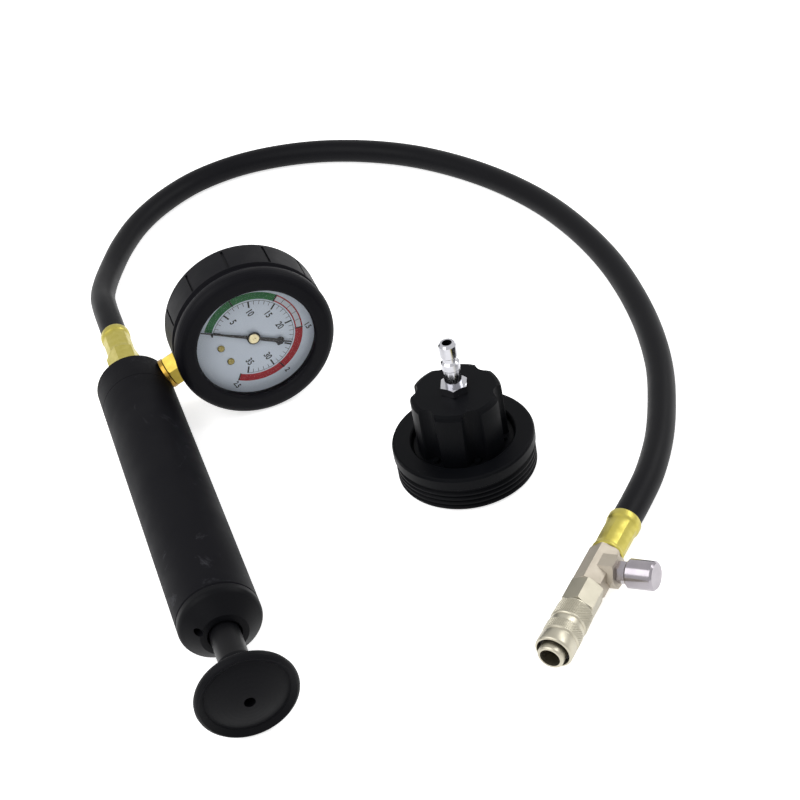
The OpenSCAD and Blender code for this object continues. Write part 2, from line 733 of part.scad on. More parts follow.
module sector_gear() {
    root_r = sector_pitch_r - 1.15 * tooth_module;
    tip_r = sector_pitch_r + 0.75 * tooth_module;
    pitch = 360 / sector_teeth;
    first = -sector_turn / pitch - 2;
    last = 2;
    low = 90 + pitch * first;
    high = 90 + pitch * (last + 1);
    color("#c9a94a") at_gauge() translate([0, sector_y, 0]) {
        translate([0, 0, sector_z]) linear_extrude(sector_t) difference() {
            polygon(concat(arc([0, 0], 2.4, high + 40, low + 320, 14),
                [for (i = [first:last]) each tooth(sector_teeth, 90 + pitch * (i + 0.5),
                    root_r, tip_r)]));
            polygon(concat(arc([0, 0], 4.4, high - 8, low + 8, 6),
                arc([0, 0], root_r - 1.6, low + 8, high - 8, 8)));
        }
        translate([0, -sector_y, sector_z + 0.1]) linear_extrude(sector_t - 0.2) hull() {
            translate([0, sector_y]) circle(r = 1.6, $fn = 24);
            translate(tail_pin) circle(r = 1.2, $fn = 24);
        }
        translate([tail_pin[0], tail_pin[1] - sector_y, 0])
            rod(link_pin_r, link_z + link_t + 0.4 - sector_z - 1, sector_z + 1);
        rod(staff_r, front_plate_z - back_plate_z - plate_t - 0.2, back_plate_z + plate_t + 0.1);
        rod(pivot_r, front_plate_z - back_plate_z + plate_t, back_plate_z);
    }
}

module pinion_staff() {
    root_r = pinion_pitch_r - 1.05 * tooth_module;
    tip_r = pinion_pitch_r + 0.8 * tooth_module;
    pitch = 360 / pinion_teeth;
    color("#bfc0c2") at_gauge() {
        translate([0, 0, sector_z - 0.3]) linear_extrude(sector_t + 0.6)
            polygon([for (i = [0:pinion_teeth - 1])
                each tooth(pinion_teeth, -90 + pitch * i, root_r, tip_r)]);
        rod(pivot_r, 2, back_plate_z);
        rod(staff_r, pointer_z - back_plate_z - plate_t - 0.1, back_plate_z + plate_t + 0.1);
    }
}

// A flat spiral that takes up the play of the teeth
module hairspring() {
    turns = 3.5;
    steps = 56;
    start_r = staff_r + 0.5;
    pitch = 0.75;
    band = 0.12;
    function spiral(f, off) = let(a = 360 * turns * f, r = start_r + pitch * turns * f + off)
        [r * cos(a), r * sin(a)];
    color("#d2b768") at_gauge() translate([0, 0, front_plate_z - 0.9]) linear_extrude(0.6)
        polygon(concat([for (i = [0:steps]) spiral(i / steps, 0)],
            [for (i = [steps:-1:0]) spiral(i / steps, band)]));
}

// A long fine needle, and a tail that widens to a crescent with a fine tip
module pointer() {
    needle_l = 25.5;
    tail_l = 19;
    blob_y = -14;
    color("#17171a") at_gauge() translate([0, 0, pointer_z]) rotate([0, 0, -scale_start]) {
        linear_extrude(0.4) difference() {
            union() {
                polygon([[-0.9, 0], [-0.2, needle_l], [0.2, needle_l], [0.9, 0]]);
                polygon([[-0.75, 0], [-1.05, blob_y], [1.05, blob_y], [0.75, 0]]);
                translate([0, blob_y]) circle(r = 1.75, $fn = 32);
                translate([-0.25, -tail_l]) square([0.5, 8]);
                circle(r = 2.9);
            }
            translate([0, blob_y - 2.2]) difference() {
                circle(r = 1.3, $fn = 24);
                translate([-0.25, -4]) square([0.5, 8]);
            }
        }
        color("#d8c98c") turned([[0, 0.4], [1.9, 0.4], [1.9, 0.8], [1.5, 1.1], [0, 1.1]]);
    }
}

// ---------- coupler end of the hose ----------

module coupler_ferrule() {
    color("#d9cf7e") at_coupler() along_x(ferrule_l) mirror([0, 0, 1]) ferrule(ferrule_l);
}

// A hexagonal bar with a hexagonal branch on one side
module valve_block() {
    color("#c8c0ac") at_coupler() difference() {
        union() {
            along_x(block_x) hex_bar(block_af, block_l, 0);
            translate([relief_x, 0, 0]) rotate([-90, 0, 0]) hex_bar(branch_af, branch_out, 0,
                0.8, false);
        }
        along_x(block_x - cut) rod(2.2, block_l + 1);
        along_x(coupler_hex_x - 6.5) rod(4.5 + seat, 8);
        translate([relief_x, 0, 0]) rotate([-90, 0, 0])
            rod(branch_bore_r, branch_out + 4 + cut, -4);
    }
}

module relief_body() {
    barrel_r = 4;
    barrel_top = button_start + button_l - 2.5 - button_travel - 0.3;
    color("#cfd0d2") at_branch() difference() {
        union() {
            rod(branch_bore_r - seat, branch_out - 2.5, 2.5);
            translate([0, 0, branch_out]) hex_bar(relief_hex_af, relief_hex_l, 0, 0.5);
            rod(barrel_r, barrel_top - branch_out - relief_hex_l + 0.5,
                branch_out + relief_hex_l - 0.5);
        }
        rod(1.6, 24, 0);
        rod(3.1, 10, branch_out + relief_hex_l + 2);
    }
}

module relief_button() {
    skirt_r = 4.9;
    roof = button_start + button_l - 2.5;
    color("#c9cacd") at_branch() {
        turned([[skirt_r, button_start], [button_d / 2 - 0.7, button_start],
            [button_d / 2, button_start + 0.7], [button_d / 2, button_start + button_l - 0.8],
            [button_d / 2 - 0.8, button_start + button_l], [0, button_start + button_l],
            [0, roof], [skirt_r, roof]]);
        rod(1.5, roof - 1.9 + 0.5, 1.9);
    }
}

module relief_seal() {
    color("#161617") at_branch() turned([[0, 0.4], [2.3, 0.4], [2.4, 0.6], [2.4, 2.1],
        [2.2, 2.35], [1.55, 2.35], [1.55, 1.85], [0, 1.85]]);
}

module relief_spring() {
    start = branch_out + relief_hex_l + 2 + seat;
    color("#b5b5b8") at_branch() translate([0, 0, start])
        coil_spring(2.4, 0.3, button_start + button_l - 2.5 - seat - start, 5, 10, 5);
}

// The body: a hexagon, a guide for the sleeve, and a tube with the bore for the nipple
module coupler_body() {
    guide_end = sleeve_x + guide_l;
    room_x = poppet_seat_x - 1.5 - poppet_room_l;
    seal_r = socket_r + 0.75;
    color("#cbc4b2") at_coupler() difference() {
        union() {
            along_x(coupler_hex_x) hex_bar(coupler_af, coupler_hex_l - 0.3, 43);
            along_x(coupler_hex_x - 6) rod(4.5, 7);
            along_x(coupler_hex_x + coupler_hex_l - 1) rod(guide_r, guide_l + 1);
            along_x(guide_end - 1) turned([[0, 0], [tube_r, 0], [tube_r, tip_x - guide_end + 0.5],
                [tube_r - 0.5, tip_x - guide_end + 1], [0, tip_x - guide_end + 1]]);
        }
        along_x(seal_x - 4) rod(socket_r, 30);
        along_x(seal_x) rod(seal_r + seat, 1.3);
        along_x(ring_x) turned([[tube_r - 0.6, 0], [tube_r + 1, 0], [tube_r + 1, ring_w + 0.1],
            [tube_r - 0.6, ring_w + 0.1]]);
        along_x(room_x) rod(poppet_room_r, poppet_room_l);
        along_x(room_x) rod(3, 20);
        along_x(coupler_hex_x - 10) rod(2, 30);
        for (i = [0:ball_count - 1]) translate([ball_x, 0, 0]) rotate([90 + 360 / ball_count * i, 0, 0])
            rod(ball_r + seat, 10);
    }
}

module coupler_seal() {
    color("#161617") at_coupler() along_x(seal_x + 0.65) ring_seal(socket_r + 0.15, 0.6);
}

// The sleeve: knurled bands between two grooves, and a ramp inside that drives the balls inwards
module coupler_sleeve() {
    r = sleeve_d / 2;
    rear_r = r - 0.45;
    groove_1 = 9;
    groove_2 = 16.5;
    land = ramp_x - sleeve_x;
    color("#d5cfc0") at_coupler() along_x(sleeve_x) turned(concat(
        [[guide_r + slide, 0], [rear_r - 0.6, 0], [rear_r, 0.6], [r - 0.1, groove_1 - 0.6],
        [r - 0.9, groove_1], [r - 0.9, groove_1 + 0.8], [r - 0.3, groove_1 + 1.2],
        [r - 0.3, groove_1 + 2.6], [r, groove_1 + 2.9], [r, groove_2], [r - 0.8, groove_2 + 0.3],
        [r - 0.8, groove_2 + 1]],
        arc([r - 2.2, sleeve_l - 2.6], 2.2, 20, 90, 5),
        [[recess_r, sleeve_l - 0.4], [recess_r, land + ramp_l], [land_r, land],
        [land_r, land - land_l], [guide_r + slide, land - land_l]]));
}

// The ring that stops the sleeve's ramp at the end of its travel
module retaining_ring() {
    color("#3a3a3c") at_coupler() along_x(ring_x + seat) tube(ring_r, tube_r - 0.55, ring_w);
}

module sleeve_spring() {
    start = sleeve_x + guide_l + seat;
    color("#b5b5b8") at_coupler() along_x(start)
        coil_spring((tube_r + guide_r + slide) / 2, 0.35, ramp_x - land_l - seat - start, 4, 12, 5);
}

module locking_ball(i) {
    color("#c4c4c6") at_coupler() translate([ball_x, 0, 0]) rotate([90 + 360 / ball_count * i, 0, 0])
        translate([0, 0, ball_rest_r]) sphere(r = ball_r);
}
module locking_ball_1() { locking_ball(0); }
module locking_ball_2() { locking_ball(1); }
module locking_ball_3() { locking_ball(2); }

// The poppet closes the bore until a nipple pushes its nose back
module poppet() {
    head_end = poppet_seat_x - 1.5 - slide;
    color("#cdb04c") at_coupler() along_x(head_end) turned([[0, -2.5], [2.4, -2.5], [2.4, -2],
        [poppet_room_r - slide, -2], [poppet_room_r - slide, -0.4],
        [poppet_room_r - slide - 0.4, 0], [2.3, 0], [2.3, 5.4], [1.9, 5.8], [0, 5.8]]);
}

module poppet_spring() {
    start = poppet_seat_x - 1.5 - poppet_room_l + seat;
    end = poppet_seat_x - 1.5 - slide - 2 - seat;
    color("#b5b5b8") at_coupler() along_x(start) coil_spring(3.3, 0.35, end - start, 5, 12, 5);
}

// ---------- test cap ----------

// Outline of the grip: lobes with rounded corners between the flutes
module grip_outline() {
    offset(r = 1.4, $fn = 24) offset(delta = -1.4) difference() {
        circle(r = grip_r + 0.4, $fn = 72);
        for (i = [0:flutes - 1]) rotate(30 + 360 / flutes * i) translate([flute_centre, 0])
            circle(r = flute_r, $fn = 40);
    }
}

function thread_profile(turns) = [for (i = [0:turns - 1]) let(z = 0.9 + i * cap_pitch) each
    [[thread_root_r, z], [thread_crest_r, z + cap_pitch * 0.3],
    [thread_crest_r, z + cap_pitch * 0.55], [thread_root_r, z + cap_pitch * 0.85]]];

module test_cap() {
    well_z = cap_flange_h - 3;
    turns = floor((cap_thread_h - 0.6) / cap_pitch);
    color("#1b1b1e") at_cap() difference() {
        union() {
            turned(concat([[0, 0], [thread_root_r - 0.6, 0]], thread_profile(turns),
                [[thread_root_r, cap_thread_h], [cap_r - 0.3, cap_thread_h + 0.3],
                [cap_r, cap_thread_h + 0.6], [cap_r, cap_flange_h - 1.2],
                [cap_r - 0.4, cap_flange_h - 0.3], [cap_r - 1.2, cap_flange_h],
                [grip_r + 3.6, cap_flange_h], [grip_r + 3, cap_flange_h - 0.5],
                [grip_r + 2.2, well_z], [0, well_z]]));
            intersection() {
                translate([0, 0, well_z - 1]) linear_extrude(cap_h - well_z + 1) grip_outline();
                turned([[0, 0], [grip_r + 0.4, 0], [grip_r, cap_h - 2],
                    [grip_r - 0.6, cap_h - 0.6], [grip_r - 2, cap_h], [0, cap_h]]);
            }
            for (i = [0:flutes - 1]) rotate([0, 0, 30 + 360 / flutes * i])
                translate([flute_centre - flute_r + 1.6, 0, well_z - 0.5]) rod(1.3, 2.2);
        }
        translate([0, 0, -cut]) cylinder(r = cap_room_r, h = cap_room_h + cut);
        translate([0, 0, cap_room_h - 1]) cylinder(r = grip_room_r, h = grip_room_top
            - cap_room_h + 1);
        translate([0, 0, cap_h - 10.5]) cylinder(r = 4.8 + seat, h = 12);
        cylinder(r = nipple_bore_r, h = cap_h);
        rotate_extrude() translate([(cap_room_r + thread_root_r) / 2 - 1, -cut])
            square([2, 1.9 + cut]);
    }
}

module cap_seal() {
    color("#141415") at_cap() ring_seal((cap_room_r + thread_root_r) / 2, 0.9, 0.95);
}

module cap_nipple() {
    base = cap_h + seat;
    top = base + nipple_hex_h + nipple_l;
    groove_z = top - 8;
    r = nipple_d / 2;
    color("#c6c6c9") at_cap() {
        difference() {
            union() {
                translate([0, 0, base]) hex_bar(11, nipple_hex_h, 8);
                translate([0, 0, base - 9.5]) cylinder(r = 4.8, h = 10);
                turned([[0, base + 1], [r - 0.5, base + 1], [r - 0.2, base + nipple_hex_h + 2],
                    [r - 0.2, groove_z - 5.2], [r, groove_z - 4.8], [r, groove_z - 1.8],
                    [r - 0.9, groove_z - 0.9], [r - 0.9, groove_z + 0.9],
                    [r - 0.2, groove_z + 1.6], [r - 0.2, top - 1], [r - 0.9, top], [0, top]]);
            }
            translate([0, 0, base - 10]) cylinder(r = nipple_bore_r, h = 60);
        }
    }
}

pump_barrel();
pump_head();
head_seal();
end_cap();
piston_rod();
piston();
piston_seal();
piston_screw();
knob();
knob_screw();
check_ball();
check_spring();
hose_adapter();
hose_nut();
hose_ferrule();
hose();
gauge_boot();
gauge_case();
gauge_stem();
stem_washer();
gauge_bezel();
gauge_lens();
gauge_dial();
dial_screws();
bourdon_tube();
movement_back_plate();
movement_front_plate();
sector_gear();
tip_link();
pinion_staff();
hairspring();
pointer();
coupler_ferrule();
valve_block();
relief_body();
relief_button();
relief_seal();
relief_spring();
coupler_body();
coupler_seal();
coupler_sleeve();
sleeve_spring();
retaining_ring();
locking_ball_1();
locking_ball_2();
locking_ball_3();
poppet();
poppet_spring();
test_cap();
cap_seal();
cap_nipple();
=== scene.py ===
"""Finishes, dial print, needle, hose, crimped ferrules and knurled sleeve of a hand-pumped cooling system
tester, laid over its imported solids. The scene is in metres, in the frame of the solids, and what is made
here is drawn in millimetres."""

import math

import bmesh
import bpy
from mathutils import Matrix, Vector


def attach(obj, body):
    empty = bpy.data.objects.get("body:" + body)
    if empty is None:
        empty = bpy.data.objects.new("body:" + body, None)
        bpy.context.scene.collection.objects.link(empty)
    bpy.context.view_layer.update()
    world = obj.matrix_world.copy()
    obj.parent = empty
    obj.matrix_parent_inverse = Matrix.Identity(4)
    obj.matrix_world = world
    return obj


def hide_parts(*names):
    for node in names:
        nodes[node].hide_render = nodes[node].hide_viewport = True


bl_info = {
    "name": "Cooling System Tester",
    "version": (1, 0, 0),
    "blender": (4, 5, 0),
    "location": "View3D > Sidebar > Tester",
    "description": "Hose, dial print, ferrules, knurled sleeve and finishes of a hand-pumped pressure tester",
    "category": "Object",
}

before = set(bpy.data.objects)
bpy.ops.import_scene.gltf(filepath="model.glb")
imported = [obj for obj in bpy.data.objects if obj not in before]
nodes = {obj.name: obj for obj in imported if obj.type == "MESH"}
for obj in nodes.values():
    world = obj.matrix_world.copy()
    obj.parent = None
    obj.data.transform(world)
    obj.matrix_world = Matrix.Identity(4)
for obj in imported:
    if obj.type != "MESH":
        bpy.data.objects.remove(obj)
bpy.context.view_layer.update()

MM = 0.001

# The camera that was fitted to the outlines: its focal length and frame in pixels, its place in metres
FOCAL_PX = 1766.35
FRAME_PX = 800
SENSOR_MM = 36.0
CAMERA_AT = (-0.08641, -0.60398, 0.49533)
CAMERA_RIGHT = (0.93660, -0.31373, -0.15608)
CAMERA_AHEAD = (0.16083, 0.78062, -0.60396)

# Sizes of the solids, in millimetres, that place what is made here
PUMP_L = 181.0
PUMP_R = 17.25
KNOB_R = 20.5
KNOB_REACH = 40.0
REST_TILT = math.atan((KNOB_R - PUMP_R) / (PUMP_L + KNOB_REACH))
PUMP_X = -68.1
PUMP_FAR_Y = 89.5403
STEM_FROM_END = 8.0
PORT_Y = PUMP_L - STEM_FROM_END
GAUGE_REACH = 61.5
BOOT_R = 37.5
LIP_Z = 22.0
# The gauge leans until its boot meets the table, this far behind its front lip
TOUCH_BEHIND_LIP = 5.0
TOUCH_FROM_END = STEM_FROM_END + LIP_Z - TOUCH_BEHIND_LIP
GAUGE_LEAN = math.asin((BOOT_R - PUMP_R - TOUCH_FROM_END * math.sin(REST_TILT)) / GAUGE_REACH)
DIAL_DEPTH = 7.6
DIAL_Z = LIP_Z - DIAL_DEPTH
NEEDLE_LIFT = 0.9
NEEDLE_Z = DIAL_Z + NEEDLE_LIFT
FERRULE_L = 21.0
FERRULE_BORE_R = 6.3
FERRULE_CORE_R = 2.2
FERRULE_Y = 206.4
PSI_PER_BAR = 14.504
# The pin that stops the needle: its place on the dial, the degrees that it stands behind, and its size
PIN_AT_R = 19.8
PIN_BEHIND = 3
PIN_R = 0.45
PIN_H = 1.6
SLEEVE_X = 53.5
SLEEVE_L = 23.5
COUPLER_AT = (100, -97.5, 7.8)
COUPLER_HEADING = 225
COUPLER_ROLL = 8

# The hose's route, in millimetres: out of the pump, round on the table and into the coupler
HOSE_ROUTE = [
    (-68.1, 134.2, 16.6), (-68.1, 149, 16.3), (-68, 164, 15.4), (-67, 180, 12.8), (-63, 198, 9.3),
    (-56.5, 216, 7), (-47, 235, 6.3), (-34, 253, 6.3), (-17, 268, 6.3), (4, 279, 6.3), (28, 283, 6.3),
    (52, 280, 6.3), (76, 271, 6.3), (99, 256, 6.3), (120, 236, 6.3), (138, 211, 6.3), (153, 182, 6.3),
    (164, 150, 6.3), (170, 117, 6.3), (172, 84, 6.3), (170, 52, 6.3), (165, 21, 6.3), (157, -8, 6.3),
    (147, -32, 6.4), (135, -55, 6.8), (122, -74, 7.4), (110, -87.5, 7.7), (98.6, -98.9, 7.8),
]


def shift(x, y, z):
    return Matrix.Translation((x * MM, y * MM, z * MM))


def turn(degrees, axis):
    return Matrix.Rotation(math.radians(degrees), 4, axis)


AT_PUMP = (shift(PUMP_X, PUMP_FAR_Y, 0) @ Matrix.Rotation(-REST_TILT, 4, "X")
           @ shift(0, -PUMP_L, PUMP_R))
AT_STEM = AT_PUMP @ shift(0, PORT_Y, 0) @ Matrix.Rotation(math.pi / 2 - GAUGE_LEAN, 4, "Y")
AT_GAUGE = AT_STEM @ turn(90, "X") @ shift(0, GAUGE_REACH, 0)
AT_COUPLER = shift(*COUPLER_AT) @ turn(COUPLER_HEADING, "Z") @ turn(COUPLER_ROLL, "X")
ALONG_X = turn(90, "Y")
ALONG_Y = turn(-90, "X")


# ---------------------------------------------------------------- nodes and finishes


# The grey of a scuff on black powder, and the size of the patches that the scuffs come in
SCUFF = "#6a6a70"
SCUFF_MM = 22.2


def linear(hex_colour):
    """An sRGB hex colour as the linear RGBA that the shaders take."""
    parts = [int(hex_colour[i:i + 2], 16) / 255 for i in (1, 3, 5)]
    return tuple(p / 12.92 if p <= 0.04045 else ((p + 0.055) / 1.055) ** 2.4 for p in parts) + (1.0,)


def node(tree, kind, inputs=None, **settings):
    """A node with its settings; an input is a value or the socket that feeds it."""
    made = tree.nodes.new(kind)
    for name, value in settings.items():
        setattr(made, name, value)
    for socket, value in (inputs or {}).items():
        if isinstance(value, bpy.types.NodeSocket):
            tree.links.new(value, made.inputs[socket])
        else:
            made.inputs[socket].default_value = value
    return made


def seen_rays(tree):
    """One for rays from the camera, a reflection or a clear piece, which all see the background."""
    rays = node(tree, "ShaderNodeLightPath").outputs
    shown = node(tree, "ShaderNodeMath", {0: rays["Is Camera Ray"], 1: rays["Is Glossy Ray"]},
                 operation="MAXIMUM").outputs[0]
    return node(tree, "ShaderNodeMath", {0: shown, 1: rays["Is Transmission Ray"]},
                operation="MAXIMUM").outputs[0]


def surface(name, colour, shade, patch_mm, grain_mm, depth_mm, roughness, spread=0.05, scuffs=0.0,
            shader_values=None):
    """A finish made of two close colours in soft patches, with a fine grain over them.

    The roughness varies by spread, and scuffs is the strength of pale smears from handling."""
    material = bpy.data.materials.new(name)
    material.use_nodes = True
    tree = material.node_tree
    shader = tree.nodes["Principled BSDF"]
    place = node(tree, "ShaderNodeTexCoord").outputs["Object"]
    patches = node(tree, "ShaderNodeTexNoise",
                   {"Vector": place, "Scale": 1 / (patch_mm * MM), "Detail": 4.0}).outputs["Fac"]
    grain = node(tree, "ShaderNodeTexNoise",
                 {"Vector": place, "Scale": 1 / (grain_mm * MM), "Detail": 2.0}).outputs["Fac"]
    tone = node(tree, "ShaderNodeMix", {0: patches, 6: linear(colour), 7: linear(shade)},
                data_type="RGBA").outputs[2]
    if scuffs:
        smear = node(tree, "ShaderNodeTexNoise", {"Vector": place, "Scale": 1 / (SCUFF_MM * MM),
                     "Detail": 5.0, "Roughness": 0.68, "Distortion": 1.4}).outputs["Fac"]
        shown = node(tree, "ShaderNodeMapRange", {"Value": smear, "From Min": 0.60, "From Max": 0.78,
                     "To Max": scuffs}).outputs["Result"]
        tone = node(tree, "ShaderNodeMix", {0: shown, 6: tone, 7: linear(SCUFF)},
                    data_type="RGBA").outputs[2]
    rough = node(tree, "ShaderNodeMapRange", {"Value": patches, "From Min": 0.3, "From Max": 0.7,
                 "To Min": roughness - spread, "To Max": roughness + spread}).outputs["Result"]
    bump = node(tree, "ShaderNodeBump", {"Height": grain, "Distance": depth_mm * MM}).outputs["Normal"]
    tree.links.new(tone, shader.inputs["Base Color"])
    tree.links.new(rough, shader.inputs["Roughness"])
    tree.links.new(bump, shader.inputs["Normal"])
    for socket, value in (shader_values or {}).items():
        shader.inputs[socket].default_value = value
    return material


def make_finishes(look):
    """Every finish of the tester.

    Colour, shade, patch and grain in millimetres, depth of the grain, roughness and its spread. The grain
    of plate, turned metal, enamel and ink is finer than a render shows, so it is drawn as coarse as it
    needs to show."""
    metal = {"Metallic": 1.0}
    return {
        # Baked powder over aluminium: satin, with the soft waviness of the powder and a few pale scuffs
        "powder_coat": surface("Powder-coated aluminium, satin black", look.coating, "#101014", 18, 0.5,
                               0.010, 0.58, 0.06, scuffs=0.3, shader_values={"Specular IOR Level": 0.06}),
        # Moulded ABS: a slight sheen, faint flow marks and a texture too fine to see but for its gloss
        "moulded": surface("Moulded ABS, semi-gloss black", look.moulding, "#111114", 14, 0.4, 0.005,
                           0.46, 0.06, shader_values={"Specular IOR Level": 0.07}),
        # Glass-filled nylon of the cap: darker and more even than the ABS
        "nylon": surface("Glass-filled nylon, matt black", look.moulding, "#0c0d10", 12, 0.3, 0.008,
                         0.42, 0.05, shader_values={"Specular IOR Level": 0.05}),
        # Turned acetal rod: the smoothest of the blacks, with a clear sheen along it
        "acetal": surface("Turned acetal rod, black", "#0e0e10", "#141417", 10, 0.3, 0.003, 0.34, 0.04,
                          shader_values={"Specular IOR Level": 0.14}),
        # Moulded nitrile rubber of the boot: dull and greyish where the light grazes it
        "boot_rubber": surface("Moulded nitrile rubber, matt black", look.rubber, "#101015", 10, 0.35,
                               0.012, 0.48, 0.06, shader_values={"Specular IOR Level": 0.08}),
        # Extruded hose cover: smoother than the boot, with a soft sheen along its bends
        "hose_rubber": surface("Extruded rubber hose cover, black", look.hose, "#0f0f13", 20, 0.5,
                               0.006, 0.45, 0.05, shader_values={"Specular IOR Level": 0.09}),
        "seal_rubber": surface("Rubber seal, black", "#141415", "#1a1a1b", 6, 0.3, 0.004, 0.55),
        # Turned brass: bright yellow, a little duller in patches, with the fine grain of turning
        "brass": surface("Turned brass", look.brass, "#8f7d36", 5, 0.15, 0.004, 0.28, 0.06,
                         shader_values=metal),
        # Brass of the screws on the dial: toned by age, and greyer than the fittings
        "old_brass": surface("Brass, toned", "#8f8454", "#776c43", 3, 0.15, 0.004, 0.30, 0.05,
                             shader_values=metal),
        # Lacquered brass of the boss that the needle is pressed on: pale, with a soft sheen
        "pale_brass": surface("Lacquered brass, pale", "#d8cda8", "#cabf98", 3, 0.15, 0.004, 0.42, 0.05,
                              shader_values=metal),
        # Zinc plate with a yellow passivate, over a pressed steel ferrule: pale and uneven
        "ferrule": surface("Pressed ferrule, yellow passivated", look.ferrule, "#a89c46", 3, 0.25,
                           0.005, 0.40, 0.08, shader_values=metal),
        "copper": surface("Copper sealing washer", "#b08e40", "#94742f", 4, 0.2, 0.004, 0.26, 0.06,
                          shader_values=metal),
        # Bright nickel over brass: a warm white metal with a soft edge to its reflections
        "nickel": surface("Nickel-plated brass", look.nickel, "#a8a393", 6, 0.2, 0.003, 0.38, 0.05,
                          shader_values=metal),
        # Nickel over the sawn and tumbled bar of the block: duller, so its flats spread the light
        "satin_nickel": surface("Nickel-plated bar, satin", "#b7afa2", "#aaa295", 6, 0.25, 0.006, 0.54,
                                0.04, shader_values=metal),
        # Chromium over nickel: colder and sharper than the nickel beside it
        "chrome": surface("Chromium-plated brass", "#a29da2", "#8f8a90", 6, 0.2, 0.002, 0.18, 0.04,
                          shader_values=metal),
        # Polished nickel of the nipple: neutral, and brighter than the chromium of the button
        "bright_nickel": surface("Nickel-plated steel, polished", "#bfbfc4", "#acacb1", 6, 0.2, 0.002,
                                 0.14, 0.04, shader_values=metal),
        "steel": surface("Spring steel, bright", "#c3c3c6", "#b2b2b6", 4, 0.15, 0.003, 0.25, 0.05,
                         shader_values=metal),
        "dark_steel": surface("Phosphated steel, dark", "#3b3b3d", "#2e2e30", 4, 0.15, 0.003, 0.40,
                              0.06, shader_values=metal),
        "natural": surface("Acetal, natural", "#d9d5c8", "#cfcabb", 6, 0.3, 0.004, 0.40),
        # Stove enamel on the aluminium dial: an even bluish white with a soft gloss
        "enamel": surface("Stove-enamelled dial, bluish white", look.dial, "#dde8f6", 9, 0.4, 0.001,
                          0.38, 0.03),
        "case_black": surface("Enamelled steel case, black", "#151517", "#1c1c1e", 8, 0.4, 0.006, 0.45),
        "needle_black": surface("Anodised needle, black", "#101012", "#17171a", 3, 0.2, 0.001, 0.42),
        # Screen-printed inks lie flat and dull on the enamel
        "ink_black": surface("Dial ink, black", "#131416", "#1a1b1d", 2, 0.2, 0.0005, 0.55, 0.03),
        "ink_green": surface("Dial ink, green", look.green, "#196233", 2, 0.2, 0.0005, 0.55, 0.03),
        "ink_red": surface("Dial ink, red", look.red, "#a3242d", 2, 0.2, 0.0005, 0.55, 0.03),
        "ink_white": surface("Dial ink, white", "#e2e7ee", "#dbe1ea", 2, 0.2, 0.0005, 0.55, 0.03),
        # Cast acrylic window: clear, seen by its sheen alone
        "window": surface("Acrylic window, clear", "#0c1014", "#10151a", 20, 5.0, 0.0, 0.04, 0.01,
                          shader_values={"Alpha": 0.05}),
    }


NODE_FINISH = {
    "pump_barrel": "powder_coat", "pump_head": "powder_coat", "end_cap": "moulded",
    "knob": "moulded", "piston_rod": "acetal", "piston": "natural", "head_seal": "seal_rubber",
    "piston_seal": "seal_rubber", "piston_screw": "steel", "knob_screw": "dark_steel",
    "check_ball": "steel", "check_spring": "steel", "hose_adapter": "brass", "hose_nut": "ferrule",
    "gauge_boot": "boot_rubber", "gauge_case": "case_black", "gauge_stem": "brass",
    "stem_washer": "copper", "gauge_bezel": "case_black", "gauge_lens": "window", "gauge_dial": "enamel",
    "dial_screws": "old_brass", "bourdon_tube": "brass", "movement_back_plate": "brass",
    "movement_front_plate": "brass", "sector_gear": "brass", "tip_link": "brass",
    "pinion_staff": "steel", "hairspring": "brass", "valve_block": "satin_nickel", "relief_body": "chrome",
    "relief_button": "chrome", "relief_seal": "seal_rubber", "relief_spring": "steel",
    "coupler_body": "nickel", "coupler_seal": "seal_rubber", "sleeve_spring": "steel",
    "retaining_ring": "dark_steel", "locking_ball_1": "steel", "locking_ball_2": "steel",
    "locking_ball_3": "steel", "poppet": "brass", "poppet_spring": "steel", "test_cap": "nylon",
    "cap_seal": "seal_rubber", "cap_nipple": "bright_nickel",
}

# The finishes by their names above, once the operator has made them
finishes = {}


# ---------------------------------------------------------------- mesh making


def finished(name, mesh, place, finish, sharp=35.0):
    """An object at the origin with its mesh moved to its place, smooth but for edges over an angle."""
    mesh.transform(place)
    shape = bmesh.new()
    shape.from_mesh(mesh)
    for face in shape.faces:
        face.smooth = True
    for edge in shape.edges:
        edge.smooth = len(edge.link_faces) < 2 or edge.calc_face_angle(0) < math.radians(sharp)
    shape.to_mesh(mesh)
    shape.free()
    if finish:
        mesh.materials.clear()
        mesh.materials.append(finishes[finish])
    made = bpy.data.objects.new(name, mesh)
    bpy.context.scene.collection.objects.link(made)
    return made


def grid_mesh(name, rows, close_around=True, cap_first=False, cap_last=False, close_along=False):
    """A mesh from rows of points, millimetres in, metres out; each row is one ring."""
    shape = bmesh.new()
    made = [[shape.verts.new((x * MM, y * MM, z * MM)) for x, y, z in row] for row in rows]
    around = len(rows[0])
    for i in range(len(rows) - (0 if close_along else 1)):
        lower, upper = made[i], made[(i + 1) % len(rows)]
        for k in range(around - (0 if close_around else 1)):
            n = (k + 1) % around
            shape.faces.new((lower[k], lower[n], upper[n], upper[k]))
    if cap_first:
        shape.faces.new(list(reversed(made[0])))
    if cap_last:
        shape.faces.new(made[-1])
    bmesh.ops.remove_doubles(shape, verts=shape.verts, dist=1e-7)
    bmesh.ops.recalc_face_normals(shape, faces=shape.faces)
    mesh = bpy.data.meshes.new(name)
    shape.to_mesh(mesh)
    shape.free()
    return mesh


def lathe_mesh(name, outline, around=96, closed=True, shape_radius=None):
    """A turned shape about Z from (radius, height) points, which shape_radius may dent."""
    rows = []
    for radius, height in outline:
        row = []
        for k in range(around):
            angle = 2 * math.pi * k / around
            r = shape_radius(radius, height, angle) if shape_radius else radius
            row.append((r * math.cos(angle), r * math.sin(angle), height))
        rows.append(row)
    return grid_mesh(name, rows, close_along=closed)


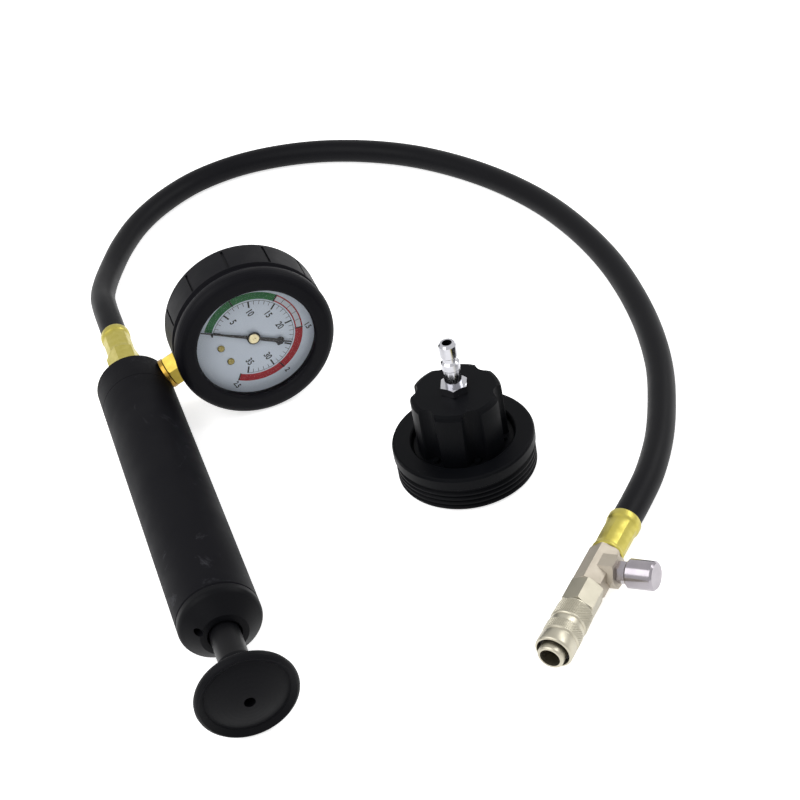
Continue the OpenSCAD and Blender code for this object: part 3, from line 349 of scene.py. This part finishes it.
def arc_points(centre, radius, first, last, steps=8):
    """Points of an arc in the outline plane, degrees."""
    return [(centre[0] + radius * math.cos(math.radians(first + (last - first) * i / steps)),
             centre[1] + radius * math.sin(math.radians(first + (last - first) * i / steps)))
            for i in range(steps + 1)]


def dial_point(radius, angle, z=0.0):
    """A point of the dial, its angle in degrees clockwise from the top."""
    return (radius * math.sin(math.radians(angle)), radius * math.cos(math.radians(angle)), z)


def dial_band(name, inner, outer, first, last, z, finish):
    """A flat printed band on the dial between two radii and two angles."""
    steps = max(2, int(abs(last - first) / 2))
    rows = [[dial_point(inner, first + (last - first) * i / steps, z),
             dial_point(outer, first + (last - first) * i / steps, z)] for i in range(steps + 1)]
    mesh = grid_mesh(name, rows, close_around=False)
    for polygon in mesh.polygons:
        if polygon.normal.z < 0:
            mesh.flip_normals()
            break
    return finished(name, mesh, AT_GAUGE, finish)


def join(name, parts):
    """Several meshes as one object, each with its own finish."""
    shape = bmesh.new()
    mesh = bpy.data.meshes.new(name)
    for part in parts:
        first = len(mesh.materials)
        for material in part.data.materials:
            mesh.materials.append(material)
        before = len(shape.faces)
        shape.from_mesh(part.data)
        shape.faces.ensure_lookup_table()
        for face in shape.faces[before:]:
            face.material_index += first
        old = part.data
        bpy.data.objects.remove(part)
        bpy.data.meshes.remove(old)
    shape.to_mesh(mesh)
    shape.free()
    made = bpy.data.objects.new(name, mesh)
    bpy.context.scene.collection.objects.link(made)
    return made


def from_tree(name, tree, values, place, finish, sharp=35.0):
    """What a Geometry Nodes tree makes, with its named inputs set, as a plain mesh in its place."""
    carrier = bpy.data.objects.new(name + ".carrier", bpy.data.meshes.new(name + ".carrier"))
    bpy.context.scene.collection.objects.link(carrier)
    modifier = carrier.modifiers.new("Nodes", "NODES")
    modifier.node_group = tree
    for item in tree.interface.items_tree:
        if item.item_type == "SOCKET" and item.in_out == "INPUT" and item.name in values:
            modifier[item.identifier] = values[item.name]
    bpy.context.view_layer.update()
    evaluated = carrier.evaluated_get(bpy.context.evaluated_depsgraph_get())
    mesh = bpy.data.meshes.new_from_object(evaluated)
    mesh.name = name
    carrier.modifiers.remove(modifier)
    bpy.data.objects.remove(carrier)
    if not mesh.polygons:
        raise RuntimeError(name + ": its Geometry Nodes tree made nothing")
    return finished(name, mesh, place, finish, sharp)


def tree_with(name, inputs):
    """A new Geometry Nodes tree, and the sockets of its named inputs: {name: (socket type, default)}."""
    tree = bpy.data.node_groups.new(name, "GeometryNodeTree")
    tree.interface.new_socket("Geometry", in_out="OUTPUT", socket_type="NodeSocketGeometry")
    for label, (kind, value) in inputs.items():
        socket = tree.interface.new_socket(label, in_out="INPUT", socket_type=kind)
        socket.default_value = value
    return tree, node(tree, "NodeGroupInput").outputs


def end_tree(tree, geometry, finish):
    """The tree's last nodes: instances made real, a finish set, and the output."""
    real = node(tree, "GeometryNodeRealizeInstances", {"Geometry": geometry}).outputs["Geometry"]
    painted = node(tree, "GeometryNodeSetMaterial", {"Geometry": real}).outputs["Geometry"]
    painted.node.inputs["Material"].default_value = finishes[finish]
    node(tree, "NodeGroupOutput", {"Geometry": painted})


# ---------------------------------------------------------------- sizes and colours


class StageSettings(bpy.types.PropertyGroup):
    floor: bpy.props.StringProperty(name="Floor", description="Colour of the floor, sRGB hex",
                                    default="#ffffff")
    floor_lift: bpy.props.FloatProperty(
        name="Floor lift", description="Light that the floor shows to the camera and in reflections",
        default=0.70)
    sky: bpy.props.FloatProperty(name="Sky", description="Strength of the light from overhead",
                                 default=0.66)
    horizon: bpy.props.FloatProperty(name="Horizon", description="Strength of the light low down all round",
                                     default=0.12)
    key: bpy.props.FloatProperty(name="Key", description="Power of the large lamp at the upper left",
                                 default=8.0, unit="POWER")
    fill: bpy.props.FloatProperty(name="Fill", description="Power of the long lamp at the right",
                                  default=3.0, unit="POWER")


class FinishSettings(bpy.types.PropertyGroup):
    coating: bpy.props.StringProperty(name="Coating", description="Powder coat of the barrel, sRGB hex",
                                      default="#0d0d11")
    moulding: bpy.props.StringProperty(name="Moulding", description="Moulded black plastic, sRGB hex",
                                       default="#08090c")
    rubber: bpy.props.StringProperty(name="Rubber", description="Boot of the gauge, sRGB hex",
                                     default="#0b0b0f")
    hose: bpy.props.StringProperty(name="Hose", description="Cover of the hose, sRGB hex",
                                   default="#0c0c0f")
    brass: bpy.props.StringProperty(name="Brass", description="Turned brass, sRGB hex", default="#b39e48")
    ferrule: bpy.props.StringProperty(name="Ferrule", description="Passivated ferrules, sRGB hex",
                                      default="#beb460")
    nickel: bpy.props.StringProperty(name="Nickel", description="Nickel plate, sRGB hex", default="#bbb6a6")
    dial: bpy.props.StringProperty(name="Dial", description="Enamel of the dial, sRGB hex",
                                   default="#e6f0fc")
    green: bpy.props.StringProperty(name="Green", description="Green part of the scale, sRGB hex",
                                    default="#1d7038")
    red: bpy.props.StringProperty(name="Red", description="Red part of the scale, sRGB hex",
                                  default="#b32a33")


class HoseSettings(bpy.types.PropertyGroup):
    diameter: bpy.props.FloatProperty(name="Diameter", description="Outer diameter of the hose",
                                      default=0.0125, unit="LENGTH")
    steps: bpy.props.IntProperty(
        name="Steps", description="Points of the curve between two points of the route", default=6, min=2)


class FerruleSettings(bpy.types.PropertyGroup):
    mouth: bpy.props.FloatProperty(name="Mouth", description="Diameter at the mouth",
                                   default=0.0142, unit="LENGTH")
    jaws: bpy.props.IntProperty(name="Jaws", description="Flats that the crimping jaws leave",
                                default=8, min=4)
    crimp: bpy.props.FloatProperty(name="Crimp", description="Depth of the crimp",
                                   default=0.00022, unit="LENGTH")


class DialSettings(bpy.types.PropertyGroup):
    rest: bpy.props.FloatProperty(name="Rest", description="Angle of the needle at rest, from the top",
                                  default=math.radians(-135), subtype="ANGLE")
    five_psi: bpy.props.FloatProperty(name="5 psi", description="Angle of the mark for 5 psi from the top",
                                      default=math.radians(-105), subtype="ANGLE")
    per_psi: bpy.props.FloatProperty(name="Per psi", description="Angle from one fine mark to the next",
                                     default=math.radians(7.79), subtype="ANGLE")
    inner_scale: bpy.props.FloatProperty(name="Inner scale", description="Radius of the inner scale's line",
                                         default=0.0192, unit="LENGTH")
    band_inner: bpy.props.FloatProperty(name="Band, inner", description="Inner radius of the coloured band",
                                        default=0.0200, unit="LENGTH")
    band_outer: bpy.props.FloatProperty(name="Band, outer", description="Outer radius of the coloured band",
                                        default=0.0236, unit="LENGTH")


class SleeveSettings(bpy.types.PropertyGroup):
    diameter: bpy.props.FloatProperty(name="Diameter", description="Diameter over the knurl",
                                      default=0.0155, unit="LENGTH")
    # About as coarse as a knurl has to be to show at the photograph's size
    pitch: bpy.props.FloatProperty(name="Knurl pitch", description="Distance between the diamonds",
                                   default=0.00095, unit="LENGTH")
    height: bpy.props.FloatProperty(name="Knurl height", description="Height of the diamonds",
                                    default=0.00022, unit="LENGTH")


# ---------------------------------------------------------------- operators


class TESTER_OT_stage(bpy.types.Operator):
    """White floor, even light, two soft lamps and the camera at the photograph's angle"""

    bl_idname = "tester.stage"
    bl_label = "Stage"

    def execute(self, context):
        look = context.scene.tester_stage
        view = bpy.data.cameras.new("Camera")
        view.sensor_width = SENSOR_MM
        view.lens = FOCAL_PX / FRAME_PX * SENSOR_MM
        view.clip_start, view.clip_end = 0.01, 20.0
        camera = bpy.data.objects.new("Camera", view)
        right = Vector(CAMERA_RIGHT).normalized()
        ahead = Vector(CAMERA_AHEAD).normalized()
        up = right.cross(ahead)
        turned = Matrix((right, up, -ahead)).transposed().to_4x4()
        camera.matrix_world = Matrix.Translation(CAMERA_AT) @ turned
        context.scene.collection.objects.link(camera)
        context.scene.camera = camera

        paint = bpy.data.materials.new("Paper sweep, white")
        paint.use_nodes = True
        tree = paint.node_tree
        tree.nodes.clear()
        lift = node(tree, "ShaderNodeMath", {0: seen_rays(tree), 1: look.floor_lift},
                    operation="MULTIPLY").outputs[0]
        matt = node(tree, "ShaderNodeBsdfDiffuse", {"Color": linear(look.floor)}).outputs[0]
        glow = node(tree, "ShaderNodeEmission", {"Color": linear(look.floor), "Strength": lift}).outputs[0]
        both = node(tree, "ShaderNodeAddShader", {0: matt, 1: glow}).outputs[0]
        node(tree, "ShaderNodeOutputMaterial", {"Surface": both})
        sheet = bpy.data.meshes.new("Floor")
        half, low = 6.0, -0.0002
        sheet.from_pydata([(-half, -half, low), (half, -half, low), (half, half, low), (-half, half, low)],
                          [], [(0, 1, 2, 3)])
        sheet.materials.append(paint)
        floor = bpy.data.objects.new("Floor", sheet)
        context.scene.collection.objects.link(floor)

        world = bpy.data.worlds.new("Even light")
        world.use_nodes = True
        sky = world.node_tree
        sky.nodes.clear()
        way = node(sky, "ShaderNodeTexCoord").outputs["Generated"]
        height = node(sky, "ShaderNodeSeparateXYZ", {"Vector": way}).outputs["Z"]
        risen = node(sky, "ShaderNodeMapRange", {"Value": height, "From Min": 0.0, "From Max": 0.8,
                     "To Min": look.horizon, "To Max": look.sky}, interpolation_type="SMOOTHSTEP")
        strength = node(sky, "ShaderNodeMix", {0: seen_rays(sky), 2: risen.outputs["Result"], 3: 1.0},
                        data_type="FLOAT").outputs[0]
        even = node(sky, "ShaderNodeBackground", {"Color": (1, 1, 1, 1), "Strength": strength}).outputs[0]
        node(sky, "ShaderNodeOutputWorld", {"Surface": even})
        context.scene.world = world

        for name, power, size, at, aim in (
            ("Key", look.key, (1.2, 0.9), (-0.75, -0.25, 0.95), (-0.02, 0.0, 0.0)),
            ("Fill", look.fill, (0.8, 0.3), (0.85, 0.1, 0.65), (0.05, 0.0, 0.0)),
        ):
            lamp = bpy.data.lights.new(name, "AREA")
            lamp.shape = "RECTANGLE"
            lamp.size, lamp.size_y = size
            lamp.energy = power
            held = bpy.data.objects.new(name, lamp)
            held.location = at
            held.rotation_euler = (Vector(aim) - Vector(at)).to_track_quat("-Z", "Y").to_euler()
            context.scene.collection.objects.link(held)
        context.scene.view_settings.view_transform = "Standard"
        return {"FINISHED"}


class TESTER_OT_finishes(bpy.types.Operator):
    """Make the finishes and put them on the solids"""

    bl_idname = "tester.finishes"
    bl_label = "Finishes"

    def execute(self, context):
        finishes.update(make_finishes(context.scene.tester_finish))
        for name, finish in NODE_FINISH.items():
            for holder in nodes[name].material_slots:
                holder.material = finishes[finish]
        return {"FINISHED"}


class TESTER_OT_hose(bpy.types.Operator):
    """The rubber hose as one smooth curve through its route"""

    bl_idname = "tester.hose"
    bl_label = "Hose"

    def execute(self, context):
        size = context.scene.tester_hose
        route = [Vector(p) * MM for p in HOSE_ROUTE]
        last = len(route) - 1
        points = []
        for i in range(last):
            a, b, c, d = (route[max(i - 1, 0)], route[i], route[i + 1], route[min(i + 2, last)])
            # A smooth stretch from b to c, led by the points before and after them
            for s in range(size.steps):
                t = s / size.steps
                points.append(0.5 * (2 * b + (c - a) * t + (2 * a - 5 * b + 4 * c - d) * t * t
                                     + (3 * b - a - 3 * c + d) * t ** 3))
        points.append(route[last])
        line = bpy.data.curves.new("Hose", "CURVE")
        line.dimensions = "3D"
        spline = line.splines.new("POLY")
        spline.points.add(len(points) - 1)
        for point, place in zip(spline.points, points):
            point.co = (*place, 1)
            point.radius = 1.0
        spline.use_smooth = True
        line.bevel_depth = size.diameter / 2
        line.bevel_resolution = 10
        line.use_fill_caps = True
        line.materials.append(finishes["hose_rubber"])
        hose = bpy.data.objects.new("hose_tube", line)
        context.scene.collection.objects.link(hose)
        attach(hose, "root")
        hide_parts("hose")
        on_it = [bpy.data.objects["coupler_ferrule_crimped"], bpy.data.objects["coupler_sleeve_turned"]]
        on_it += [nodes[n] for n in ("valve_block", "relief_body", "relief_button", "relief_seal",
                  "relief_spring", "coupler_body", "coupler_seal", "sleeve_spring", "retaining_ring",
                  "locking_ball_1", "locking_ball_2", "locking_ball_3", "poppet", "poppet_spring")]
        return {"FINISHED"}


class TESTER_OT_ferrules(bpy.types.Operator):
    """The two crimped ferrules: a belled mouth, the flats of the jaws, and a bead at the back"""

    bl_idname = "tester.ferrules"
    bl_label = "Ferrules"

    def execute(self, context):
        size = context.scene.tester_ferrule
        mouth = size.mouth / 2 / MM
        waist = mouth - 0.5
        bore = FERRULE_BORE_R
        core = FERRULE_CORE_R
        length = FERRULE_L
        run_in, run_out = 2.0, length - 4.6
        flat, ridge = size.crimp / MM, 0.06
        outline = [(core, 0), (waist, 0), (waist + 0.2, 0.35), (waist + 0.25, 0.8), (waist + 0.2, 1.3),
                   (waist - 0.1, 1.8)]
        outline += [(waist - 0.05, z) for z in (2.3, 2.8, 3.4, 4.2)]
        outline += [(waist, 4.2 + (run_out - 4.6) * i / 8) for i in range(1, 9)]
        outline += [(waist + 0.1, length - 4.2), (mouth - 0.15, length - 3.8), (mouth, length - 3.2),
                    (mouth, length - 1.6), (mouth, length - 0.7), (mouth - 0.15, length - 0.2),
                    (bore + 0.25, length), (bore, length - 0.3), (bore, length - 2.5), (core, length - 2.5)]

        def crimped(radius, height, angle):
            """Pulls the wall in between the jaws' edges, and lets each flat run out at both ends."""
            if radius < waist - 0.3 or not run_in < height < run_out:
                return radius
            step = 2 * math.pi / size.jaws
            across = abs((angle % step) / step - 0.5) * 2
            ease = min(1.0, (height - run_in) / 1.4, run_out - height)
            return radius - flat * ease * (1 - across ** 2.2) + ridge * ease * across ** 6

        for name, place, replaced in (
            ("hose_ferrule_crimped", AT_PUMP @ shift(0, FERRULE_Y, 0) @ ALONG_Y, "hose_ferrule"),
            ("coupler_ferrule_crimped", AT_COUPLER @ shift(FERRULE_L, 0, 0) @ turn(-90, "Y"),
             "coupler_ferrule"),
        ):
            mesh = lathe_mesh(name, outline, around=128, shape_radius=crimped)
            made = finished(name, mesh, place, "ferrule", sharp=40)
            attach(made, "root")
            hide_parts(replaced)
        return {"FINISHED"}


class TESTER_OT_dial(bpy.types.Operator):
    """The print on the dial: two scales, the coloured band, their numbers, and the pin at zero"""

    bl_idname = "tester.dial"
    bl_label = "Dial print"

    def execute(self, context):
        size = context.scene.tester_dial
        rest, per_psi = math.degrees(size.rest), math.degrees(size.per_psi)
        line = size.inner_scale / MM
        low, high = size.band_inner / MM, size.band_outer / MM

        def at_psi(psi):
            return math.degrees(size.five_psi) + per_psi * (psi - 5)

        def at_bar(pressure):
            return at_psi(pressure * PSI_PER_BAR)

        bar = at_bar(1) - at_bar(0)
        last = at_bar(2.5)
        tree, take = tree_with("Scale marks", {
            "Count": ("NodeSocketInt", 37), "First angle": ("NodeSocketFloat", 0.0),
            "Step": ("NodeSocketFloat", 0.1), "Radius": ("NodeSocketFloat", 0.019),
            "Length": ("NodeSocketFloat", 0.0015), "Width": ("NodeSocketFloat", 0.0002)})
        marks = node(tree, "GeometryNodeMeshLine", {"Count": take["Count"], "Offset": (0, 0, 0)})
        index = node(tree, "GeometryNodeInputIndex").outputs[0]
        angle = node(tree, "ShaderNodeMath", {0: index, 1: take["Step"], 2: take["First angle"]},
                     operation="MULTIPLY_ADD").outputs[0]
        back = node(tree, "ShaderNodeMath", {0: angle, 1: -1.0}, operation="MULTIPLY").outputs[0]
        spin = node(tree, "ShaderNodeCombineXYZ", {"Z": back}).outputs[0]
        mark = node(tree, "GeometryNodeMeshGrid", {"Size X": take["Width"], "Size Y": take["Length"],
                    "Vertices X": 2, "Vertices Y": 2}).outputs["Mesh"]
        middle = node(tree, "ShaderNodeMath", {0: take["Length"], 1: -0.5, 2: take["Radius"]},
                      operation="MULTIPLY_ADD").outputs[0]
        out = node(tree, "ShaderNodeCombineXYZ", {"Y": middle}).outputs[0]
        mark = node(tree, "GeometryNodeTransform", {"Geometry": mark, "Translation": out}).outputs[0]
        placed = node(tree, "GeometryNodeInstanceOnPoints", {"Points": marks.outputs["Mesh"],
                      "Instance": mark, "Rotation": spin}).outputs[0]
        end_tree(tree, placed, "ink_black")

        parts = []
        top = DIAL_Z + 0.02
        rad = math.radians
        for name, count, start, step, radius, length, width, lift in (
            ("fine", 34, at_psi(2), per_psi, line, 1.95, 0.22, 0.02),
            ("strong", 7, at_psi(5), per_psi * 5, line, 3.4, 0.75, 0.02),
            ("start", 1, rest, per_psi, line, 3.4, 0.55, 0.02),
            ("outer", 5, at_bar(0.5), bar / 2, high + 0.1, high - low + 0.3, 0.60, 0.03),
            ("outer_fine", 4, at_bar(1.1), bar / 10, high - 0.35, high - low - 0.7, 0.2, 0.03),
        ):
            parts.append(from_tree("marks_" + name, tree, {
                "Count": count, "First angle": rad(start), "Step": rad(step), "Radius": radius * MM,
                "Length": length * MM, "Width": width * MM}, AT_GAUGE @ shift(0, 0, top + lift), "ink_black"))
        white = at_bar(1), at_bar(1.5)
        edge = 0.62
        for name, inner, outer, a, b, lift, finish in (
            ("line", line - 0.1, line + 0.1, rest, at_psi(35), 0.02, "ink_black"),
            ("green", low, high, rest, white[0], 0.0, "ink_green"),
            ("white", low, high, white[0], white[1], 0.0, "ink_white"),
            ("red_inner", low, low + edge, white[0], white[1], 0.01, "ink_red"),
            ("red_outer", high - edge, high, white[0], white[1], 0.01, "ink_red"),
            ("red_start", low, high, white[0], white[0] + 1.3, 0.01, "ink_red"),
            ("red", low, high, white[1], last, 0.0, "ink_red"),
        ):
            parts.append(dial_band("band_" + name, inner, outer, a, b, top + lift, finish))
        inner_r, inner_tall, outer_r, outer_tall = 13.2, 4.5, 26.0, 3.6
        bolder, narrow = 0.10, Matrix.Diagonal((0.78, 1.0, 1.0, 1.0))
        numbers = [(str(p), at_psi(p), inner_r, inner_tall) for p in range(5, 40, 5)]
        numbers += [(t, at_bar(float(t)), outer_r, outer_tall) for t in ("0.5", "1", "1.5", "2", "2.5")]
        for text, angle, radius, tall in numbers:
            line_of_type = bpy.data.curves.new("number_" + text, "FONT")
            line_of_type.body = text
            line_of_type.size = tall * MM
            line_of_type.offset = bolder * MM
            line_of_type.align_x, line_of_type.align_y = "CENTER", "CENTER"
            letters = bpy.data.objects.new("number", line_of_type)
            context.scene.collection.objects.link(letters)
            context.view_layer.update()
            mesh = bpy.data.meshes.new_from_object(letters.evaluated_get(context.evaluated_depsgraph_get()))
            bpy.data.objects.remove(letters)
            x, y, _ = dial_point(radius, angle)
            parts.append(finished("number_" + text, mesh, AT_GAUGE @ shift(x, y, top + 0.02) @ narrow,
                                  "ink_black"))
        x, y, _ = dial_point(PIN_AT_R, rest - PIN_BEHIND)
        pin = [(0, 0), (PIN_R, 0), (PIN_R, PIN_H - 0.1), (PIN_R - 0.1, PIN_H), (0, PIN_H)]
        parts.append(finished("zero_pin", lathe_mesh("zero_pin", pin, around=24),
                              AT_GAUGE @ shift(x, y, DIAL_Z), "dark_steel"))
        print_on_dial = join("dial_print", parts)
        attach(print_on_dial, "root")
        return {"FINISHED"}


class TESTER_OT_pointer(bpy.types.Operator):
    """The needle with its weighted tail, and the brass boss that it is pressed on"""

    bl_idname = "tester.pointer"
    bl_label = "Pointer"

    def execute(self, context):
        swing = AT_GAUGE @ shift(0, 0, NEEDLE_Z) @ turn(
            -math.degrees(context.scene.tester_dial.rest), "Z")
        thick = 0.4
        needle = [(-0.85, 0), (-0.2, 25.5), (0.2, 25.5), (0.85, 0)]
        weight, weight_r = (0, -13.1), 2.0
        tail = [(0.75, 0), (1.0, -11.3)] + arc_points(weight, weight_r, 62, -50, 8)
        tail += [(0.30, -14.5), (0.28, -18.5), (-0.28, -18.5), (-0.30, -14.5)]
        tail += arc_points(weight, weight_r, 230, 118, 8) + [(-1.0, -11.3), (-0.75, 0)]
        parts = []
        for name, outline in (("needle", needle), ("tail", tail)):
            shape = bmesh.new()
            low = [shape.verts.new((x * MM, y * MM, 0)) for x, y in outline]
            face = shape.faces.new(low)
            raised = bmesh.ops.extrude_face_region(shape, geom=[face])
            moved = [v for v in raised["geom"] if isinstance(v, bmesh.types.BMVert)]
            bmesh.ops.translate(shape, vec=(0, 0, thick * MM), verts=moved)
            bmesh.ops.recalc_face_normals(shape, faces=shape.faces)
            mesh = bpy.data.meshes.new(name)
            shape.to_mesh(mesh)
            shape.free()
            parts.append(finished(name, mesh, swing, "needle_black"))
        disc = [(0, 0), (3.1, 0), (3.2, 0.1), (3.2, 0.45), (3.05, 0.55), (0, 0.55)]
        parts.append(finished("disc", lathe_mesh("disc", disc, around=64), swing, "needle_black"))
        boss = [(0, 0.5), (2.45, 0.5), (2.45, 0.85), (2.3, 1.02), (0.75, 1.1), (0.4, 0.75), (0, 0.7)]
        parts.append(finished("boss", lathe_mesh("boss", boss, around=64), swing, "pale_brass"))
        pointer = join("pointer_needle", parts)
        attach(pointer, "pointer")
        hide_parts("pointer")
        return {"FINISHED"}


class TESTER_OT_sleeve(bpy.types.Operator):
    """The coupler's sleeve: turned bands and grooves with a diamond knurl"""

    bl_idname = "tester.sleeve"
    bl_label = "Sleeve"

    def execute(self, context):
        size = context.scene.tester_sleeve
        r = size.diameter / 2 / MM
        tall = size.height / MM
        base = r - tall
        length = SLEEVE_L
        # Inside it: the guide behind, the land that holds the balls in, and the ramp out to the recess
        guide_r, land_r, recess_r = 6.5, 5.45, 6.6
        land, land_l, ramp_l = 13.75, 4.0, 3.85
        outline = [(guide_r, 0), (base - 0.75, 0), (base - 0.45, 0.25), (base - 0.38, 0.7), (base - 0.1, 8.3),
                   (base - 0.3, 8.55), (r - 0.9, 8.8), (r - 0.9, 9.7), (r - 0.35, 9.9), (r - 0.3, 11.5),
                   (base - 0.05, 11.7), (base, 16.2), (base - 0.25, 16.4), (r - 0.85, 16.7),
                   (r - 0.85, 17.5), (r - 0.3, 17.7), (r - 0.12, 18.1)]
        outline += arc_points((r - 1.05, length - 1.0), 0.95, 0, 90, 7)
        outline += [(recess_r + 0.15, length - 0.05), (recess_r, length - 0.4), (recess_r, land + ramp_l),
                    (land_r, land), (land_r, land - land_l), (guide_r, land - land_l)]
        place = AT_COUPLER @ shift(SLEEVE_X, 0, 0) @ ALONG_X
        parts = [finished("turned", lathe_mesh("turned", outline, around=128), place, "nickel", sharp=30)]

        tree, take = tree_with("Diamond knurl", {
            "Around": ("NodeSocketInt", 60), "Rows": ("NodeSocketInt", 10),
            "Radius": ("NodeSocketFloat", 0.0075), "Taper": ("NodeSocketFloat", 0.0),
            "Start": ("NodeSocketFloat", 0.0), "Pitch": ("NodeSocketFloat", 0.0008),
            "Width": ("NodeSocketFloat", 0.0008), "Height": ("NodeSocketFloat", 0.0002)})
        total = node(tree, "ShaderNodeMath", {0: take["Around"], 1: take["Rows"]}, operation="MULTIPLY")
        spots = node(tree, "GeometryNodeMeshLine", {"Count": total.outputs[0], "Offset": (0, 0, 0)})
        index = node(tree, "GeometryNodeInputIndex").outputs[0]
        row = node(tree, "ShaderNodeMath", {0: index, 1: take["Around"]}, operation="DIVIDE").outputs[0]
        # A hair more than the quotient, so that rounding never puts a diamond in the row before
        row = node(tree, "ShaderNodeMath", {0: row, 1: 0.0001}, operation="ADD").outputs[0]
        row = node(tree, "ShaderNodeMath", {0: row}, operation="FLOOR").outputs[0]
        half = node(tree, "ShaderNodeMath", {0: row, 1: 0.5, 2: index}, operation="MULTIPLY_ADD").outputs[0]
        full = node(tree, "ShaderNodeMath", {0: math.tau, 1: take["Around"]}, operation="DIVIDE").outputs[0]
        angle = node(tree, "ShaderNodeMath", {0: half, 1: full}, operation="MULTIPLY").outputs[0]
        far = node(tree, "ShaderNodeMath", {0: row, 1: take["Taper"], 2: take["Radius"]},
                   operation="MULTIPLY_ADD").outputs[0]
        high = node(tree, "ShaderNodeMath", {0: row, 1: take["Pitch"], 2: take["Start"]},
                    operation="MULTIPLY_ADD").outputs[0]
        cosine = node(tree, "ShaderNodeMath", {0: angle}, operation="COSINE").outputs[0]
        sine = node(tree, "ShaderNodeMath", {0: angle}, operation="SINE").outputs[0]
        x = node(tree, "ShaderNodeMath", {0: cosine, 1: far}, operation="MULTIPLY").outputs[0]
        y = node(tree, "ShaderNodeMath", {0: sine, 1: far}, operation="MULTIPLY").outputs[0]
        spot = node(tree, "ShaderNodeCombineXYZ", {"X": x, "Y": y, "Z": high}).outputs[0]
        spots = node(tree, "GeometryNodeSetPosition", {"Geometry": spots.outputs["Mesh"],
                     "Position": spot}).outputs[0]
        spin = node(tree, "ShaderNodeCombineXYZ", {"Y": math.pi / 2, "Z": angle}).outputs[0]
        tip = 0.12
        diamond = node(tree, "GeometryNodeMeshCone", {"Vertices": 4, "Radius Top": tip * MM,
                       "Radius Bottom": take["Width"], "Depth": take["Height"]},
                       fill_type="NONE").outputs["Mesh"]
        placed = node(tree, "GeometryNodeInstanceOnPoints", {"Points": spots, "Instance": diamond,
                      "Rotation": spin}).outputs[0]
        end_tree(tree, placed, "nickel")
        around = int(2 * math.pi * r / (size.pitch / MM))
        step = size.pitch / 2
        for name, start, end, taper in (("rear", 1.1, 8.2, 0.28), ("middle", 12.0, 16.1, 0.03)):
            rows = int((end - start) * MM / step) + 1
            parts.append(from_tree("knurl_" + name, tree, {
                "Around": around, "Rows": rows, "Radius": (base - taper - 0.06) * MM,
                "Taper": taper * MM / rows, "Start": start * MM, "Pitch": step,
                "Width": size.pitch * 0.5, "Height": size.height}, place, "nickel", sharp=10))
        sleeve = join("coupler_sleeve_turned", parts)
        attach(sleeve, "coupler_sleeve")
        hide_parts("coupler_sleeve")
        return {"FINISHED"}


ORDER = (TESTER_OT_stage, TESTER_OT_finishes, TESTER_OT_ferrules, TESTER_OT_sleeve, TESTER_OT_hose,
         TESTER_OT_dial, TESTER_OT_pointer)
SETTINGS = {"tester_stage": StageSettings, "tester_finish": FinishSettings, "tester_hose": HoseSettings,
            "tester_ferrule": FerruleSettings, "tester_dial": DialSettings, "tester_sleeve": SleeveSettings}


class TESTER_PT_panel(bpy.types.Panel):
    """The steps that dress the tester, in order"""

    bl_label = "Cooling System Tester"
    bl_idname = "TESTER_PT_panel"
    bl_space_type = "VIEW_3D"
    bl_region_type = "UI"
    bl_category = "Tester"

    def draw(self, context):
        for step in ORDER:
            self.layout.operator(step.bl_idname)
        for name, settings in SETTINGS.items():
            box = self.layout.box()
            for prop in settings.__annotations__:
                box.prop(getattr(context.scene, name), prop)


def register():
    for settings in SETTINGS.values():
        bpy.utils.register_class(settings)
    for step in ORDER:
        bpy.utils.register_class(step)
    bpy.utils.register_class(TESTER_PT_panel)
    for name, settings in SETTINGS.items():
        setattr(bpy.types.Scene, name, bpy.props.PointerProperty(type=settings))


def unregister():
    for name in SETTINGS:
        delattr(bpy.types.Scene, name)
    bpy.utils.unregister_class(TESTER_PT_panel)
    for step in reversed(ORDER):
        bpy.utils.unregister_class(step)
    for settings in SETTINGS.values():
        bpy.utils.unregister_class(settings)


def main():
    register()
    for step in ORDER:
        family, name = step.bl_idname.split(".")
        getattr(getattr(bpy.ops, family), name)()


if __name__ == "__main__":
    main()
